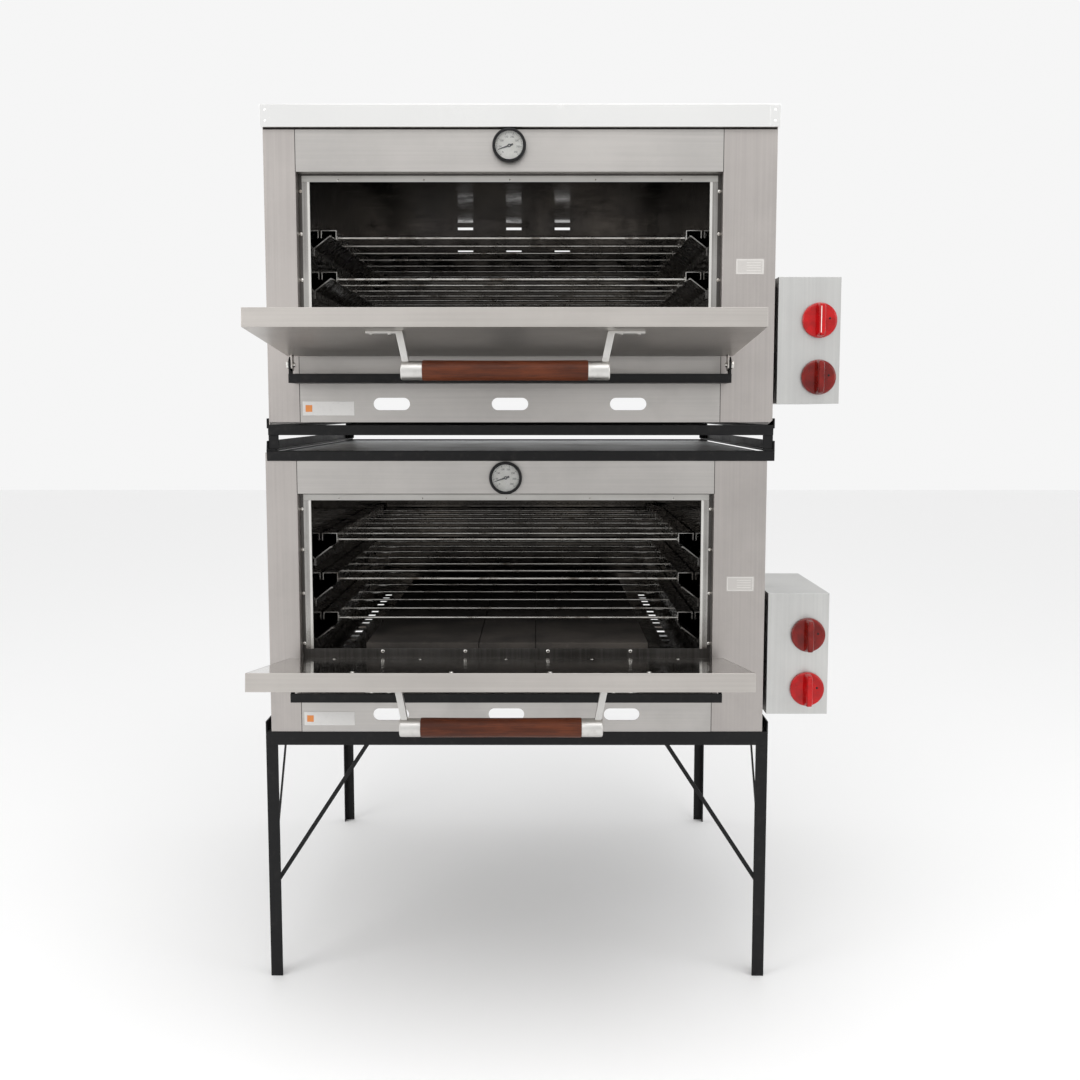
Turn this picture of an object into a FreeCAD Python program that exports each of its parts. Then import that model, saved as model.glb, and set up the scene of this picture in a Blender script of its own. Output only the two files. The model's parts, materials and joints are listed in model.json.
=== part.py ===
"""Twin stacked gas deck oven: two equal oven modules, a spacer frame between them and an angle-iron stand.

Every size is a cell of the sheet "Sizes", in millimetres and degrees. Every sub-part is modelled once in
the frame of its own assembly (stand, spacer, module or door) and put in place by its Placement.
Module frame: X from the middle of the body, Y back from the front plane, Z up from the front panel's edge.
Door frame: origin on the hinge line, the open door lies along -Y and its inner side faces +Z.
"""
import FreeCAD, Part
import math
import os
import re
import Sketcher

doc = FreeCAD.newDocument("DeckOven")

# ---------------------------------------------------------------- driving dimensions

SIZES = [
    # body of one module
    ("body_width", 900), ("body_depth", 905), ("body_height", 511), ("sheet", 1.5),
    ("lower_skirt", 0), ("upper_skirt", 5),
    ("left_post", 56), ("right_post", 94), ("header_height", 74), ("panel_height", 130),
    ("jamb_depth", 25), ("jamb_width", 20), ("jamb_head", 13.5), ("jamb_sill", 20),
    ("return_depth", 15), ("lower_shift", -8), ("through", 5),
    # air slots of the lower front panel
    ("air_slot_count", 3), ("air_slot_width", 65), ("air_slot_height", 22),
    ("air_slot_pitch", 211), ("air_slot_level", 32.5),
    # cooking chamber
    ("wall", 1.5), ("back_gap", 40.5), ("chamber_floor", 140), ("chamber_drop", 41),
    ("flue_slot_width", 37), ("flue_slot_height", 6), ("flue_slot_pitch", 118), ("flue_slot_count", 3),
    ("flue_slot_drop", 9), ("flue_rise", 55), ("flue_aside", -11), ("back_strip", 20),
    ("heat_slot_length", 15), ("heat_slot_width", 24), ("heat_slot_pitch", 50), ("heat_slot_inset", 42),
    ("tile_width", 210), ("tile_height", 14), ("tile_gap", 1), ("tile_front", 36), ("tile_back", 12),
    # wire racks and their guides
    ("rack_lowest", 189), ("rack_pitch", 76), ("rack_count", 3), ("rack_front", 98.5), ("rack_back", 31.5),
    ("rod_count", 7), ("rod_radius", 3), ("rod_inset", 12), ("rail_gap", 2), ("rail_width", 29),
    ("rail_rise", 13), ("rail_outer_lip", 14.5), ("rail_inner_lip", 18), ("rail_sheet", 1.5),
    ("guide_gap", 0.3), ("guide_drop", 22.2), ("guide_foot", 15), ("guide_ledge", 2),
    ("guide_lip", 1), ("guide_front", 33.5), ("guide_back", 24.5),
    # door, its hinge and its handle
    ("door_overlap", 14), ("door_aside", 1.5), ("lip_gap", 4), ("door_depth", 29),
    ("door_hem", 8), ("skin_offset", 16), ("pivot_forward", 47), ("pivot_height", 100),
    ("upper_tilt", 4.8), ("lower_tilt", 7.5), ("pin_radius", 4), ("running_gap", 0.05),
    ("ledge_inset", 5), ("ledge_front", 61.5), ("ledge_drop", 31.5),
    ("ledge_lip", 13), ("ledge_sheet", 3), ("ear_radius", 14), ("lug_radius", 11), ("lug_gap", 0.5),
    ("lug_setback", 5), ("pin_head_radius", 7), ("pin_head", 4), ("pin_tail", 3),
    ("handle_inset", 45), ("handle_drop", 59), ("grip_radius", 15.5), ("grip_length", 250),
    ("cap_radius", 14.5), ("cap_length", 33), ("arm_top", 160), ("arm_bottom", 148), ("arm_width", 10),
    ("arm_depth", 14), ("foot_sheet", 4), ("foot_length", 51),
    ("screw_radius", 3.5), ("screw_head", 1.5), ("screw_pitch", 152), ("screw_count", 5),
    ("screw_edge", 20),
    # thermometer
    ("lower_dial_rise", -0.5), ("upper_dial_rise", 13.5), ("dial_radius", 26), ("bezel_rim", 3.5),
    ("bezel_depth", 14), ("glass_sheet", 1), ("dial_setback", 3), ("stem_radius", 5),
    ("stem_length", 22), ("pointer_angle", 199), ("needle_tail", 7), ("needle_half", 1.6),
    ("needle_tip", 0.4), ("needle_inset", 5), ("needle_sheet", 1), ("needle_hub", 3), ("arbor_radius", 1),
    # control box, valves and gas pipes
    ("box_gap", 7), ("box_width", 111), ("box_bottom", 33), ("box_height", 223), ("box_front", 2),
    ("box_depth", 280), ("mount_block", 30), ("mount_inset", 25), ("mount_rise", 62),
    ("knob_radius", 31), ("knob_base", 8), ("knob_grip", 22), ("knob_bar", 14), ("knob_rim", 3),
    ("knob_aside", 80), ("knob_low", 80), ("knob_high", 180), ("knob_gap", 0.5), ("valve_stem", 4),
    ("stem_grip", 5), ("stem_room", 2), ("valve_setback", 15), ("valve_radius", 13),
    ("valve_length", 45), ("pipe_radius", 6.5), ("pipe_hole", 8), ("manifold_back", 75),
    ("inlet_radius", 10.5), ("inlet_length", 30), ("supply_radius", 9), ("burner_radius", 16),
    ("burner_level", 84), ("burner_front", 110), ("burner_back", 65), ("burner_spread", 150),
    ("burner_rail", 20), ("burner_rail_height", 12), ("burner_rail_inset", 60), ("feed_rise", 11),
    # blank plates
    ("plate_sheet", 0.6), ("plate_width", 50), ("plate_height", 27), ("plate_level", 260),
    ("plate_aside", 20), ("badge_width", 92), ("badge_height", 25), ("badge_level", 12),
    ("badge_aside", 5),
    # lid
    ("lid_overhang", 2), ("lid_front", 11.5), ("lid_height", 38.5), ("lid_sheet", 1.2), ("lid_hem", 22),
    # spacer frame between the modules
    ("spacer_lap", 4.5), ("spacer_height", 49), ("spacer_leg", 18), ("spacer_sheet", 3),
    ("spacer_gap", 0.3),
    # stand
    ("stand_lap", 11), ("stand_lap_front", 1.5), ("stand_height", 468), ("stand_leg", 25),
    ("post_leg", 22), ("stand_sheet", 3), ("brace_reach", 178), ("brace_drop", 286),
    ("brace_width", 9), ("brace_sheet", 3),
]

sheet = doc.addObject("Spreadsheet::Sheet", "Sizes")
for row, (alias, number) in enumerate(SIZES, start=1):
    sheet.set(f"A{row}", str(number))
    sheet.setAlias(f"A{row}", alias)
doc.recompute()

ALIASES = re.compile(r"\b(" + "|".join(alias for alias, _ in SIZES) + r")\b")


def bind(thing, place, formula):
    """Tie one property to a formula that is written with the sheet's aliases."""
    thing.setExpression(place, ALIASES.sub(r"Sizes.\1", str(formula)))


def bind_base(thing, corner):
    for axis, formula in zip("xyz", corner):
        bind(thing, f"Placement.Base.{axis}", f"({formula}) * 1 mm")


# ---------------------------------------------------------------- places in the module frame

LEFT = "(-body_width / 2)"
RIGHT = "(body_width / 2)"
OPEN_LEFT = f"({LEFT} + left_post + jamb_width)"
OPEN_RIGHT = f"({RIGHT} - right_post - jamb_width)"
SEAM_LEFT = f"({LEFT} + left_post)"
SEAM_RIGHT = f"({RIGHT} - right_post)"
HEADER = "(body_height - header_height)"
SILL = "(panel_height + jamb_sill)"
HEAD = f"({HEADER} - jamb_head)"
INNER_LEFT = f"({OPEN_LEFT} - 1)"
INNER_RIGHT = f"({OPEN_RIGHT} + 1)"
INNER_WIDTH = f"({INNER_RIGHT} - {INNER_LEFT})"
INNER_FRONT = "(jamb_depth + sheet)"
INNER_BACK = "(body_depth - back_gap)"
CHAMBER_DEPTH = f"({INNER_BACK} - {INNER_FRONT})"
CHAMBER_TOP = "(body_height - chamber_drop)"
MIDDLE = f"(({INNER_LEFT} + {INNER_RIGHT}) / 2)"
PIPE_Y = "(box_front + manifold_back)"
KNOB_X = f"({RIGHT} + knob_aside)"
BOX_LEFT = f"({RIGHT} + box_gap)"
FRONT_WIDTH = f"({SEAM_RIGHT} - {SEAM_LEFT})"
DOOR_LEFT = f"({SEAM_LEFT} - door_overlap + door_aside)"
DOOR_WIDTH = f"({FRONT_WIDTH} + 2 * door_overlap)"
DOOR_MIDDLE = f"({DOOR_LEFT} + {DOOR_WIDTH} / 2)"
REACH = f"({HEADER} - lip_gap - pivot_height)"
LEDGE_LEFT = f"({DOOR_LEFT} + ledge_inset)"
LEDGE_WIDTH = f"({DOOR_WIDTH} - 2 * ledge_inset)"
BEZEL_RADIUS = "(dial_radius + bezel_rim)"
DIAL_LEVELS = {deck: f"({HEADER} + {BEZEL_RADIUS} + {deck}_dial_rise)" for deck in ("lower", "upper")}
STAND_WIDTH = "(body_width + 2 * stand_lap)"
STAND_DEPTH = "(body_depth + 2 * stand_lap_front)"
SPACER_WIDTH = "(body_width + 2 * spacer_lap)"
SPACER_DEPTH = "(body_depth + 2 * (spacer_sheet + spacer_gap))"

# ---------------------------------------------------------------- shape makers

counts = {}


def fresh(kind):
    counts[kind] = counts.get(kind, 0) + 1
    return f"{kind}_{counts[kind]:03d}"


def box(corner, length, width, height):
    """A block from its low corner and its three edges, each a formula."""
    block = doc.addObject("Part::Box", fresh("block"))
    bind(block, "Length", length)
    bind(block, "Width", width)
    bind(block, "Height", height)
    bind_base(block, corner)
    return block


TURNS = {
    "X": FreeCAD.Rotation(FreeCAD.Vector(0, 1, 0), 90),
    "Y": FreeCAD.Rotation(FreeCAD.Vector(1, 0, 0), -90),
    "Z": FreeCAD.Rotation(),
}


def rod(axis, start, radius, length):
    """A round bar that runs from its start point towards +X, +Y or +Z."""
    cylinder = doc.addObject("Part::Cylinder", fresh("rod"))
    cylinder.Placement = FreeCAD.Placement(FreeCAD.Vector(), TURNS[axis])
    bind(cylinder, "Radius", radius)
    bind(cylinder, "Height", length)
    bind_base(cylinder, start)
    return cylinder


def cut(base, *tools):
    for tool in tools:
        result = doc.addObject("Part::Cut", fresh("cut"))
        result.Base = base
        result.Tool = tool
        base = result
    return base


def fuse(*pieces):
    result = doc.addObject("Part::MultiFuse", fresh("fuse"))
    result.Shapes = list(pieces)
    return result


def mirror(thing, middle):
    """The same piece on the other side of the plane X = middle."""
    twin = doc.addObject("Part::Mirroring", fresh("mirror"))
    twin.Source = thing
    twin.Normal = FreeCAD.Vector(1, 0, 0)
    bind(twin, "Base.x", f"({middle}) * 1 mm")
    return twin


def origin_plane(body, role):
    return next(feature for feature in body.Origin.OriginFeatures if feature.Role == role)


def new_sketch(body, role):
    sketch = body.newObject("Sketcher::SketchObject", fresh("sketch"))
    sketch.AttachmentSupport = [(origin_plane(body, role), "")]
    sketch.MapMode = "FlatFace"
    return sketch


START_CIRCLE = 20


def draw_outline(sketch, corners):
    """A closed outline: each corner is held at two formulas, so the sheet drives every line.

    The corners start on a circle, where no line lies on another, and its formulas then move them."""
    count = len(corners)
    spots = []
    for step in range(count):
        turn = 2 * math.pi * step / count
        spots.append(FreeCAD.Vector(START_CIRCLE * math.cos(turn) + 1, START_CIRCLE * math.sin(turn) + 1, 0))
    first = sketch.GeometryCount
    for step in range(count):
        sketch.addGeometry(Part.LineSegment(spots[step], spots[(step + 1) % count]))
    for step in range(count):
        following = first + (step + 1) % count
        sketch.addConstraint(Sketcher.Constraint("Coincident", first + step, 2, following, 1))
    for step, corner in enumerate(corners):
        for kind, formula, now in zip(("DistanceX", "DistanceY"), corner, spots[step]):
            index = sketch.addConstraint(Sketcher.Constraint(kind, -1, 1, first + step, 1, now))
            bind(sketch, f"Constraints[{index}]", f"({formula}) * 1 mm")


ROLES = {"X": "YZ_Plane", "Y": "XZ_Plane", "Z": "XY_Plane"}


def bar(axis, corners, length, start=(0, 0, 0)):
    """A folded or rolled section: its outline lies across the axis and is padded along it.

    The outline's corners are (Y, Z) along X, (X, Z) along Y and (X, Y) along Z."""
    body = doc.addObject("PartDesign::Body", fresh("section"))
    sketch = new_sketch(body, ROLES[axis])
    draw_outline(sketch, corners)
    pad = body.newObject("PartDesign::Pad", fresh("pad"))
    pad.Profile = sketch
    pad.Reversed = axis == "Y"
    bind(pad, "Length", length)
    bind_base(body, start)
    return body


def rectangle(low, high):
    (x0, y0), (x1, y1) = low, high
    return [(x0, y0), (x1, y0), (x1, y1), (x0, y1)]


def slotted_plate(axis, low, high, thickness, start, slots, pitch, count):
    """A sheet with rows of equal slots: the first slot of each row is cut, then repeated along Y."""
    body = bar(axis, rectangle(low, high), thickness, start)
    sketch = new_sketch(body, ROLES[axis])
    for slot_low, slot_high in slots:
        draw_outline(sketch, rectangle(slot_low, slot_high))
    pocket = body.newObject("PartDesign::Pocket", fresh("pocket"))
    pocket.Profile = sketch
    pocket.Type = "ThroughAll"
    pocket.Reversed = axis != "Y"
    rows = body.newObject("PartDesign::LinearPattern", fresh("rows"))
    rows.Originals = [pocket]
    rows.Direction = (sketch, ["H_Axis" if axis == "Y" else "V_Axis"])
    bind(rows, "Length", f"({pitch}) * ({count} - 1)")
    bind(rows, "Occurrences", count)
    body.Tip = rows
    return body


def angle_section(leg, thick, across, upward):
    """An L outline with its corner at the origin: one leg along `across`, the other up or down."""
    return [
        ("0", "0"), (f"{across} * {leg}", "0"), (f"{across} * {leg}", f"{upward} * {thick}"),
        (f"{across} * {thick}", f"{upward} * {thick}"), (f"{across} * {thick}", f"{upward} * {leg}"),
        ("0", f"{upward} * {leg}"),
    ]


# ---------------------------------------------------------------- placing the sub-parts

LIP_REACH = (f"(pivot_forward + {REACH} * cos(upper_tilt * 1 deg)"
             " - skin_offset * sin(upper_tilt * 1 deg))")
LEFT_MOST = f"(-{STAND_WIDTH} / 2 + lower_shift)"
RIGHT_MOST = "(body_width / 2 + box_gap + box_width)"
BACK_MOST = f"(body_depth / 2 + {STAND_DEPTH} / 2)"
SHIFT_X = f"(-({LEFT_MOST} + {RIGHT_MOST}) / 2)"
SHIFT_Y = f"(({LIP_REACH} - max({BACK_MOST}; body_depth + spacer_sheet + spacer_gap)) / 2)"
MID_DEPTH = f"({SHIFT_Y} + body_depth / 2)"
LOWER_TOP = "(stand_height + lower_skirt + body_height)"

PLACES = {
    "stand": (f"{SHIFT_X} + lower_shift", MID_DEPTH, "0"),
    "spacer": (SHIFT_X, MID_DEPTH, LOWER_TOP),
    "lower": (f"{SHIFT_X} + lower_shift", SHIFT_Y, "stand_height + lower_skirt"),
    "upper": (SHIFT_X, SHIFT_Y, f"{LOWER_TOP} + spacer_height + upper_skirt"),
}
TILTS = {"lower": "lower_tilt", "upper": "upper_tilt"}
DECKS = ("lower", "upper")
finished = []


def place(members, where):
    """The pieces as they stand in one of the assemblies."""
    group = doc.addObject("Part::Compound", fresh("group"))
    group.Links = members
    bind_base(group, PLACES[where])
    return group


def sub_part(label, members, where):
    group = place(members, where)
    group.Label = label
    finished.append(group)
    return group


def joined(label, placed):
    """One sub-part of pieces that already stand in their places."""
    group = doc.addObject("Part::Compound", fresh("group"))
    group.Links = placed
    group.Label = label
    finished.append(group)


def both_decks(label, members):
    """One sub-part that holds the same fixed pieces of both modules."""
    joined(label, [place(members, deck) for deck in DECKS])


def each_deck(name, members):
    for deck in DECKS:
        sub_part(f"{deck}_{name}", members, deck)


def on_doors(name, members):
    """Door pieces: turned about the hinge line to the angle at which each open door rests."""
    for deck in DECKS:
        group = sub_part(f"{deck}_{name}", members, deck)
        group.Placement = FreeCAD.Placement(group.Placement.Base,
                                            FreeCAD.Rotation(FreeCAD.Vector(-1, 0, 0), 1))
        bind(group, "Placement.Rotation.Angle", f"{TILTS[deck]} * 1 deg")
        x, y, z = PLACES[deck]
        bind_base(group, (x, f"{y} - pivot_forward", f"{z} + pivot_height"))


# ---------------------------------------------------------------- angle-iron rings, stand and spacer

def angle_ring(width, depth, leg, thick, top):
    """Front and back rails with a flange hanging down, lapped over two side rails with one standing up."""
    rails = []
    for end, back in (("-1", "1"), ("1", "-1")):
        outline = [(f"{end} * {depth} / 2 + ({back}) * ({y})", f"{top} - ({z})") for y, z in (
            ("0", "0"), (leg, "0"), (leg, thick), (thick, thick), (thick, leg), ("0", leg))]
        rails.append(bar("X", outline, f"{width} - 2 * {thick}", (f"-{width} / 2 + {thick}", "0", "0")))
    section = [(f"-{width} / 2 + ({x})", f"{top} - 2 * {thick} + ({z})") for x, z in (
        ("0", "0"), (leg, "0"), (leg, thick), (thick, thick), (thick, leg), ("0", leg))]
    side = bar("Y", section, f"{depth} - 2 * {thick}", ("0", f"-{depth} / 2 + {thick}", "0"))
    return rails + [side, mirror(side, "0")]


def corner_post(width, depth, leg, thick, bottom, height, inset_x):
    """Four upright angles, each tucked behind the front or back rail."""
    x0 = f"(-{width} / 2 + {inset_x})"
    posts = []
    for end in ("-1", "1"):
        outline = [(f"{x0} + {x}", f"{end} * ({depth} / 2 - {thick} - {y})") for x, y in (
            ("0", "0"), (leg, "0"), (leg, thick), (thick, thick), (thick, leg), ("0", leg))]
        post = bar("Z", outline, height, ("0", "0", bottom))
        posts += [post, mirror(post, "0")]
    return posts


sub_part("stand_rails", angle_ring(STAND_WIDTH, STAND_DEPTH, "stand_leg", "stand_sheet", "stand_height"),
         "stand")
sub_part("stand_legs", corner_post(STAND_WIDTH, STAND_DEPTH, "post_leg", "stand_sheet", "0",
                                   "stand_height - 2 * stand_sheet", "0"), "stand")

# thin flat braces at the two front legs: two in the front plane and two along the sides
BRACE_FOOT = "(stand_height - stand_leg - brace_drop)"


def brace_outline(start, top):
    """A flat bar of even width from the leg up to a rail, cut square to each."""
    rise = f"({top} - {BRACE_FOOT})"
    return [
        (start, BRACE_FOOT), (f"{start} + brace_reach + brace_width", top),
        (f"{start} + brace_reach", top),
        (start, f"{BRACE_FOOT} + brace_width * {rise} / (brace_reach + brace_width)"),
    ]


SIDE_TOP = "(stand_height - 2 * stand_sheet)"
front = bar("Y", brace_outline(f"(-{STAND_WIDTH} / 2 + stand_sheet)", "(stand_height - stand_leg)"),
            "brace_sheet", ("0", f"-{STAND_DEPTH} / 2 + 2 * stand_sheet", "0"))
side = bar("X", brace_outline(f"(-{STAND_DEPTH} / 2 + 3 * stand_sheet)", SIDE_TOP),
           "brace_sheet", (f"-{STAND_WIDTH} / 2 + stand_sheet", "0", "0"))
sub_part("stand_braces", [front, mirror(front, "0"), side, mirror(side, "0")], "stand")

# the spacer's lower ring hangs over the lower module's top edges, its upper ring carries the upper module
spacer_size = (SPACER_WIDTH, SPACER_DEPTH, "spacer_leg", "spacer_sheet")
ring_front = [(f"-{SPACER_DEPTH} / 2 + {y}", z) for y, z in (
    ("0", "spacer_sheet"), ("0", "spacer_sheet - spacer_leg"),
    ("spacer_sheet", "spacer_sheet - spacer_leg"), ("spacer_sheet", "0"),
    ("spacer_leg", "0"), ("spacer_leg", "spacer_sheet"))]
ring_back = [(f"-({y})", z) for y, z in ring_front]
ring_side = [(f"-{SPACER_WIDTH} / 2 + {x}", f"spacer_sheet + {z}") for x, z in (
    ("0", "0"), ("spacer_leg", "0"), ("spacer_leg", "spacer_sheet"), ("spacer_sheet", "spacer_sheet"),
    ("spacer_sheet", "spacer_leg"), ("0", "spacer_leg"))]
ring = [bar("X", outline, SPACER_WIDTH, (f"-{SPACER_WIDTH} / 2", "0", "0"))
        for outline in (ring_front, ring_back)]
side = bar("Y", ring_side, SPACER_DEPTH, ("0", f"-{SPACER_DEPTH} / 2", "0"))
sub_part("spacer_lower_ring", ring + [side, mirror(side, "0")], "spacer")
sub_part("spacer_upper_ring", angle_ring(*spacer_size, "spacer_height"), "spacer")
sub_part("spacer_posts", corner_post(
    *spacer_size, "2 * spacer_sheet", "spacer_height - 4 * spacer_sheet", "spacer_sheet"), "spacer")

# ---------------------------------------------------------------- casing of a module

# each side: one folded sheet with the post's face and its return to the jamb
left_fold = [
    (LEFT, "body_depth"), (LEFT, "0"), (SEAM_LEFT, "0"), (SEAM_LEFT, "jamb_depth"),
    (f"{SEAM_LEFT} - sheet", "jamb_depth"), (f"{SEAM_LEFT} - sheet", "sheet"),
    (f"{LEFT} + sheet", "sheet"), (f"{LEFT} + sheet", "body_depth"),
]
right_fold = [
    (RIGHT, "body_depth"), (RIGHT, "0"), (SEAM_RIGHT, "0"), (SEAM_RIGHT, "jamb_depth"),
    (f"{SEAM_RIGHT} + sheet", "jamb_depth"), (f"{SEAM_RIGHT} + sheet", "sheet"),
    (f"{RIGHT} - sheet", "sheet"), (f"{RIGHT} - sheet", "body_depth"),
]
pipe_passes = [rod("X", (f"{RIGHT} - 2 * through", PIPE_Y, level), "pipe_hole", "4 * through")
               for level in ("knob_low", "knob_high")]
POST_CORNERS = ((f"{LEFT} + sheet", "left_post - sheet"), (SEAM_RIGHT, "right_post - sheet"))
post_tops = [box((corner, "sheet", "body_height - sheet"), width, "jamb_depth", "sheet + through")
             for corner, width in POST_CORNERS]


def back_strips(bottom):
    """Back: strips round a flue window behind the chamber's slots and one behind the burners."""
    levels = [bottom, "(air_slot_level / 2)", "(chamber_floor - wall - through)",
              f"({CHAMBER_TOP} - 2 * flue_rise)", CHAMBER_TOP, "body_height"]
    windows = {1: (f"({LEFT} + back_strip)", f"({RIGHT} - back_strip)"),
               3: (f"({MIDDLE} - 2 * flue_slot_pitch)", f"({MIDDLE} + 2 * flue_slot_pitch)")}
    strips = []
    for index, (low, high) in enumerate(zip(levels, levels[1:])):
        edges = [f"({LEFT} + sheet)", *windows.get(index, ()), f"({RIGHT} - sheet)"]
        for start, end in zip(edges[::2], edges[1::2]):
            strips.append(box((start, "body_depth - sheet", low), f"{end} - {start}", "sheet",
                              f"{high} - ({low})"))
    return strips


backs = []
for deck in DECKS:
    skirt = f"{deck}_skirt"
    folds = [bar("Z", fold, f"body_height + {skirt}", ("0", "0", f"-{skirt}"))
             for fold in (left_fold, right_fold)]
    feet = [box((corner, "-through", f"-{skirt} - through"), width, "jamb_depth + 2 * through",
                f"{skirt} + through") for corner, width in POST_CORNERS]
    sub_part(f"{deck}_side_panels", [cut(folds[0], feet[0], post_tops[0]),
                                     cut(folds[1], feet[1], post_tops[1], *pipe_passes)], deck)
    backs.append(place(back_strips(f"-{skirt}"), deck))
joined("back_panels", backs)

header = [
    ("0", "body_height"), ("0", HEADER), ("jamb_depth", HEADER), ("jamb_depth", f"{HEADER} + sheet"),
    ("sheet", f"{HEADER} + sheet"), ("sheet", "body_height"),
]
panel = [
    ("0", "0"), ("return_depth", "0"), ("return_depth", "sheet"), ("sheet", "sheet"),
    ("sheet", "panel_height - sheet"), ("jamb_depth", "panel_height - sheet"),
    ("jamb_depth", "panel_height"), ("0", "panel_height"),
]
header_bar = bar("X", header, FRONT_WIDTH, (SEAM_LEFT, "0", "0"))
for deck in DECKS:
    stem_hole = rod("Y", (MIDDLE, "-through", DIAL_LEVELS[deck]), "stem_radius + running_gap",
                    "4 * through")
    sub_part(f"{deck}_header_panel", [cut(header_bar, stem_hole)], deck)

air_slots = []
straight = "(air_slot_width - air_slot_height)"
for index in range(sheet.air_slot_count):
    across = f"({MIDDLE} + ({index} - (air_slot_count - 1) / 2) * air_slot_pitch)"
    air_slots.append(box((f"{across} - {straight} / 2", "-through", "air_slot_level - air_slot_height / 2"),
                         straight, "3 * through", "air_slot_height"))
    for end in ("-1", "1"):
        air_slots.append(rod("Y", (f"{across} + {end} * {straight} / 2", "-through", "air_slot_level"),
                             "air_slot_height / 2", "3 * through"))
front_panel = bar("X", panel, FRONT_WIDTH, (SEAM_LEFT, "0", "0"))
each_deck("front_panel", [cut(front_panel, fuse(*air_slots))])

# recessed jamb: two uprights, a head and a sill round the opening
upright_height = f"{HEADER} + sheet - panel_height"
jamb = [box((corner, "jamb_depth", "panel_height"), "jamb_width", "sheet", upright_height)
        for corner in (SEAM_LEFT, OPEN_RIGHT)]
jamb += [box((OPEN_LEFT, "jamb_depth", level), f"{OPEN_RIGHT} - {OPEN_LEFT}", "sheet", height)
         for level, height in ((HEAD, "jamb_head + sheet"), ("panel_height - sheet", "jamb_sill + sheet"))]
each_deck("jamb_frame", jamb)

both_decks("top_panels", [box((f"{LEFT} + sheet", "sheet", "body_height - sheet"),
                              "body_width - 2 * sheet", "body_depth - 2 * sheet", "sheet")])

# ---------------------------------------------------------------- chamber, tiles and insulation

side_wall = box((f"{INNER_LEFT} - wall", INNER_FRONT, "chamber_floor - wall"), "wall", CHAMBER_DEPTH,
                f"{CHAMBER_TOP} - chamber_floor + 2 * wall")
ceiling = box((INNER_LEFT, INNER_FRONT, CHAMBER_TOP), INNER_WIDTH, CHAMBER_DEPTH, "wall")
flue_slots = []
first_flue = f"({MIDDLE} + flue_aside - (flue_slot_count - 1) / 2 * flue_slot_pitch)"
for drop in ("(flue_slot_drop + flue_rise)", "flue_slot_drop"):
    level = f"({CHAMBER_TOP} - {drop})"
    flue_slots.append(((f"{first_flue} - flue_slot_width / 2", f"{level} - flue_slot_height / 2"),
                       (f"{first_flue} + flue_slot_width / 2", f"{level} + flue_slot_height / 2")))
back_low = (f"{INNER_LEFT} - wall", "chamber_floor - wall")
back_high = (f"{INNER_RIGHT} + wall", f"{CHAMBER_TOP} + wall")
chamber_back = slotted_plate("Y", back_low, back_high, "wall", ("0", INNER_BACK, "0"), flue_slots,
                             "flue_slot_pitch", "flue_slot_count")
heat_slots = []
heat_start = f"({INNER_FRONT} + 1.5 * heat_slot_pitch)"
for across in (f"{INNER_LEFT} + heat_slot_inset", f"{INNER_RIGHT} - heat_slot_inset - heat_slot_length"):
    heat_slots.append(((across, heat_start),
                       (f"{across} + heat_slot_length", f"{heat_start} + heat_slot_width")))
heat_room = f"({CHAMBER_DEPTH} - 1.5 * heat_slot_pitch - heat_slot_width)"
heat_slot_count = f"(floor({heat_room} / heat_slot_pitch) + 1)"
chamber_base = slotted_plate(
    "Z", (INNER_LEFT, INNER_FRONT), (INNER_RIGHT, INNER_BACK), "wall", ("0", "0", "chamber_floor - wall"),
    heat_slots, "heat_slot_pitch", heat_slot_count)
each_deck("chamber_walls", [side_wall, mirror(side_wall, MIDDLE), ceiling, chamber_back, chamber_base])

tiles = []
for across, width in ((f"{MIDDLE} - 1.25 * tile_width - tile_gap", "tile_width"),
                      (f"{MIDDLE} - 0.25 * tile_width", "tile_width / 2"),
                      (f"{MIDDLE} + 0.25 * tile_width + tile_gap", "tile_width")):
    tiles.append(box((across, f"{INNER_FRONT} + tile_front", "chamber_floor"), width,
                     f"{CHAMBER_DEPTH} - tile_front - tile_back", "tile_height"))
both_decks("refractory_tiles", tiles)

blanket_top = box((INNER_LEFT, INNER_FRONT, f"{CHAMBER_TOP} + wall"), INNER_WIDTH, CHAMBER_DEPTH,
                  f"body_height - sheet - {CHAMBER_TOP} - wall")
blanket_side = box((f"{LEFT} + sheet", INNER_FRONT, "chamber_floor"),
                   f"{INNER_LEFT} - wall - {LEFT} - sheet", CHAMBER_DEPTH,
                   "body_height - sheet - chamber_floor")
both_decks("insulation", [blanket_top, blanket_side])

# ---------------------------------------------------------------- racks and guides

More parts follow.
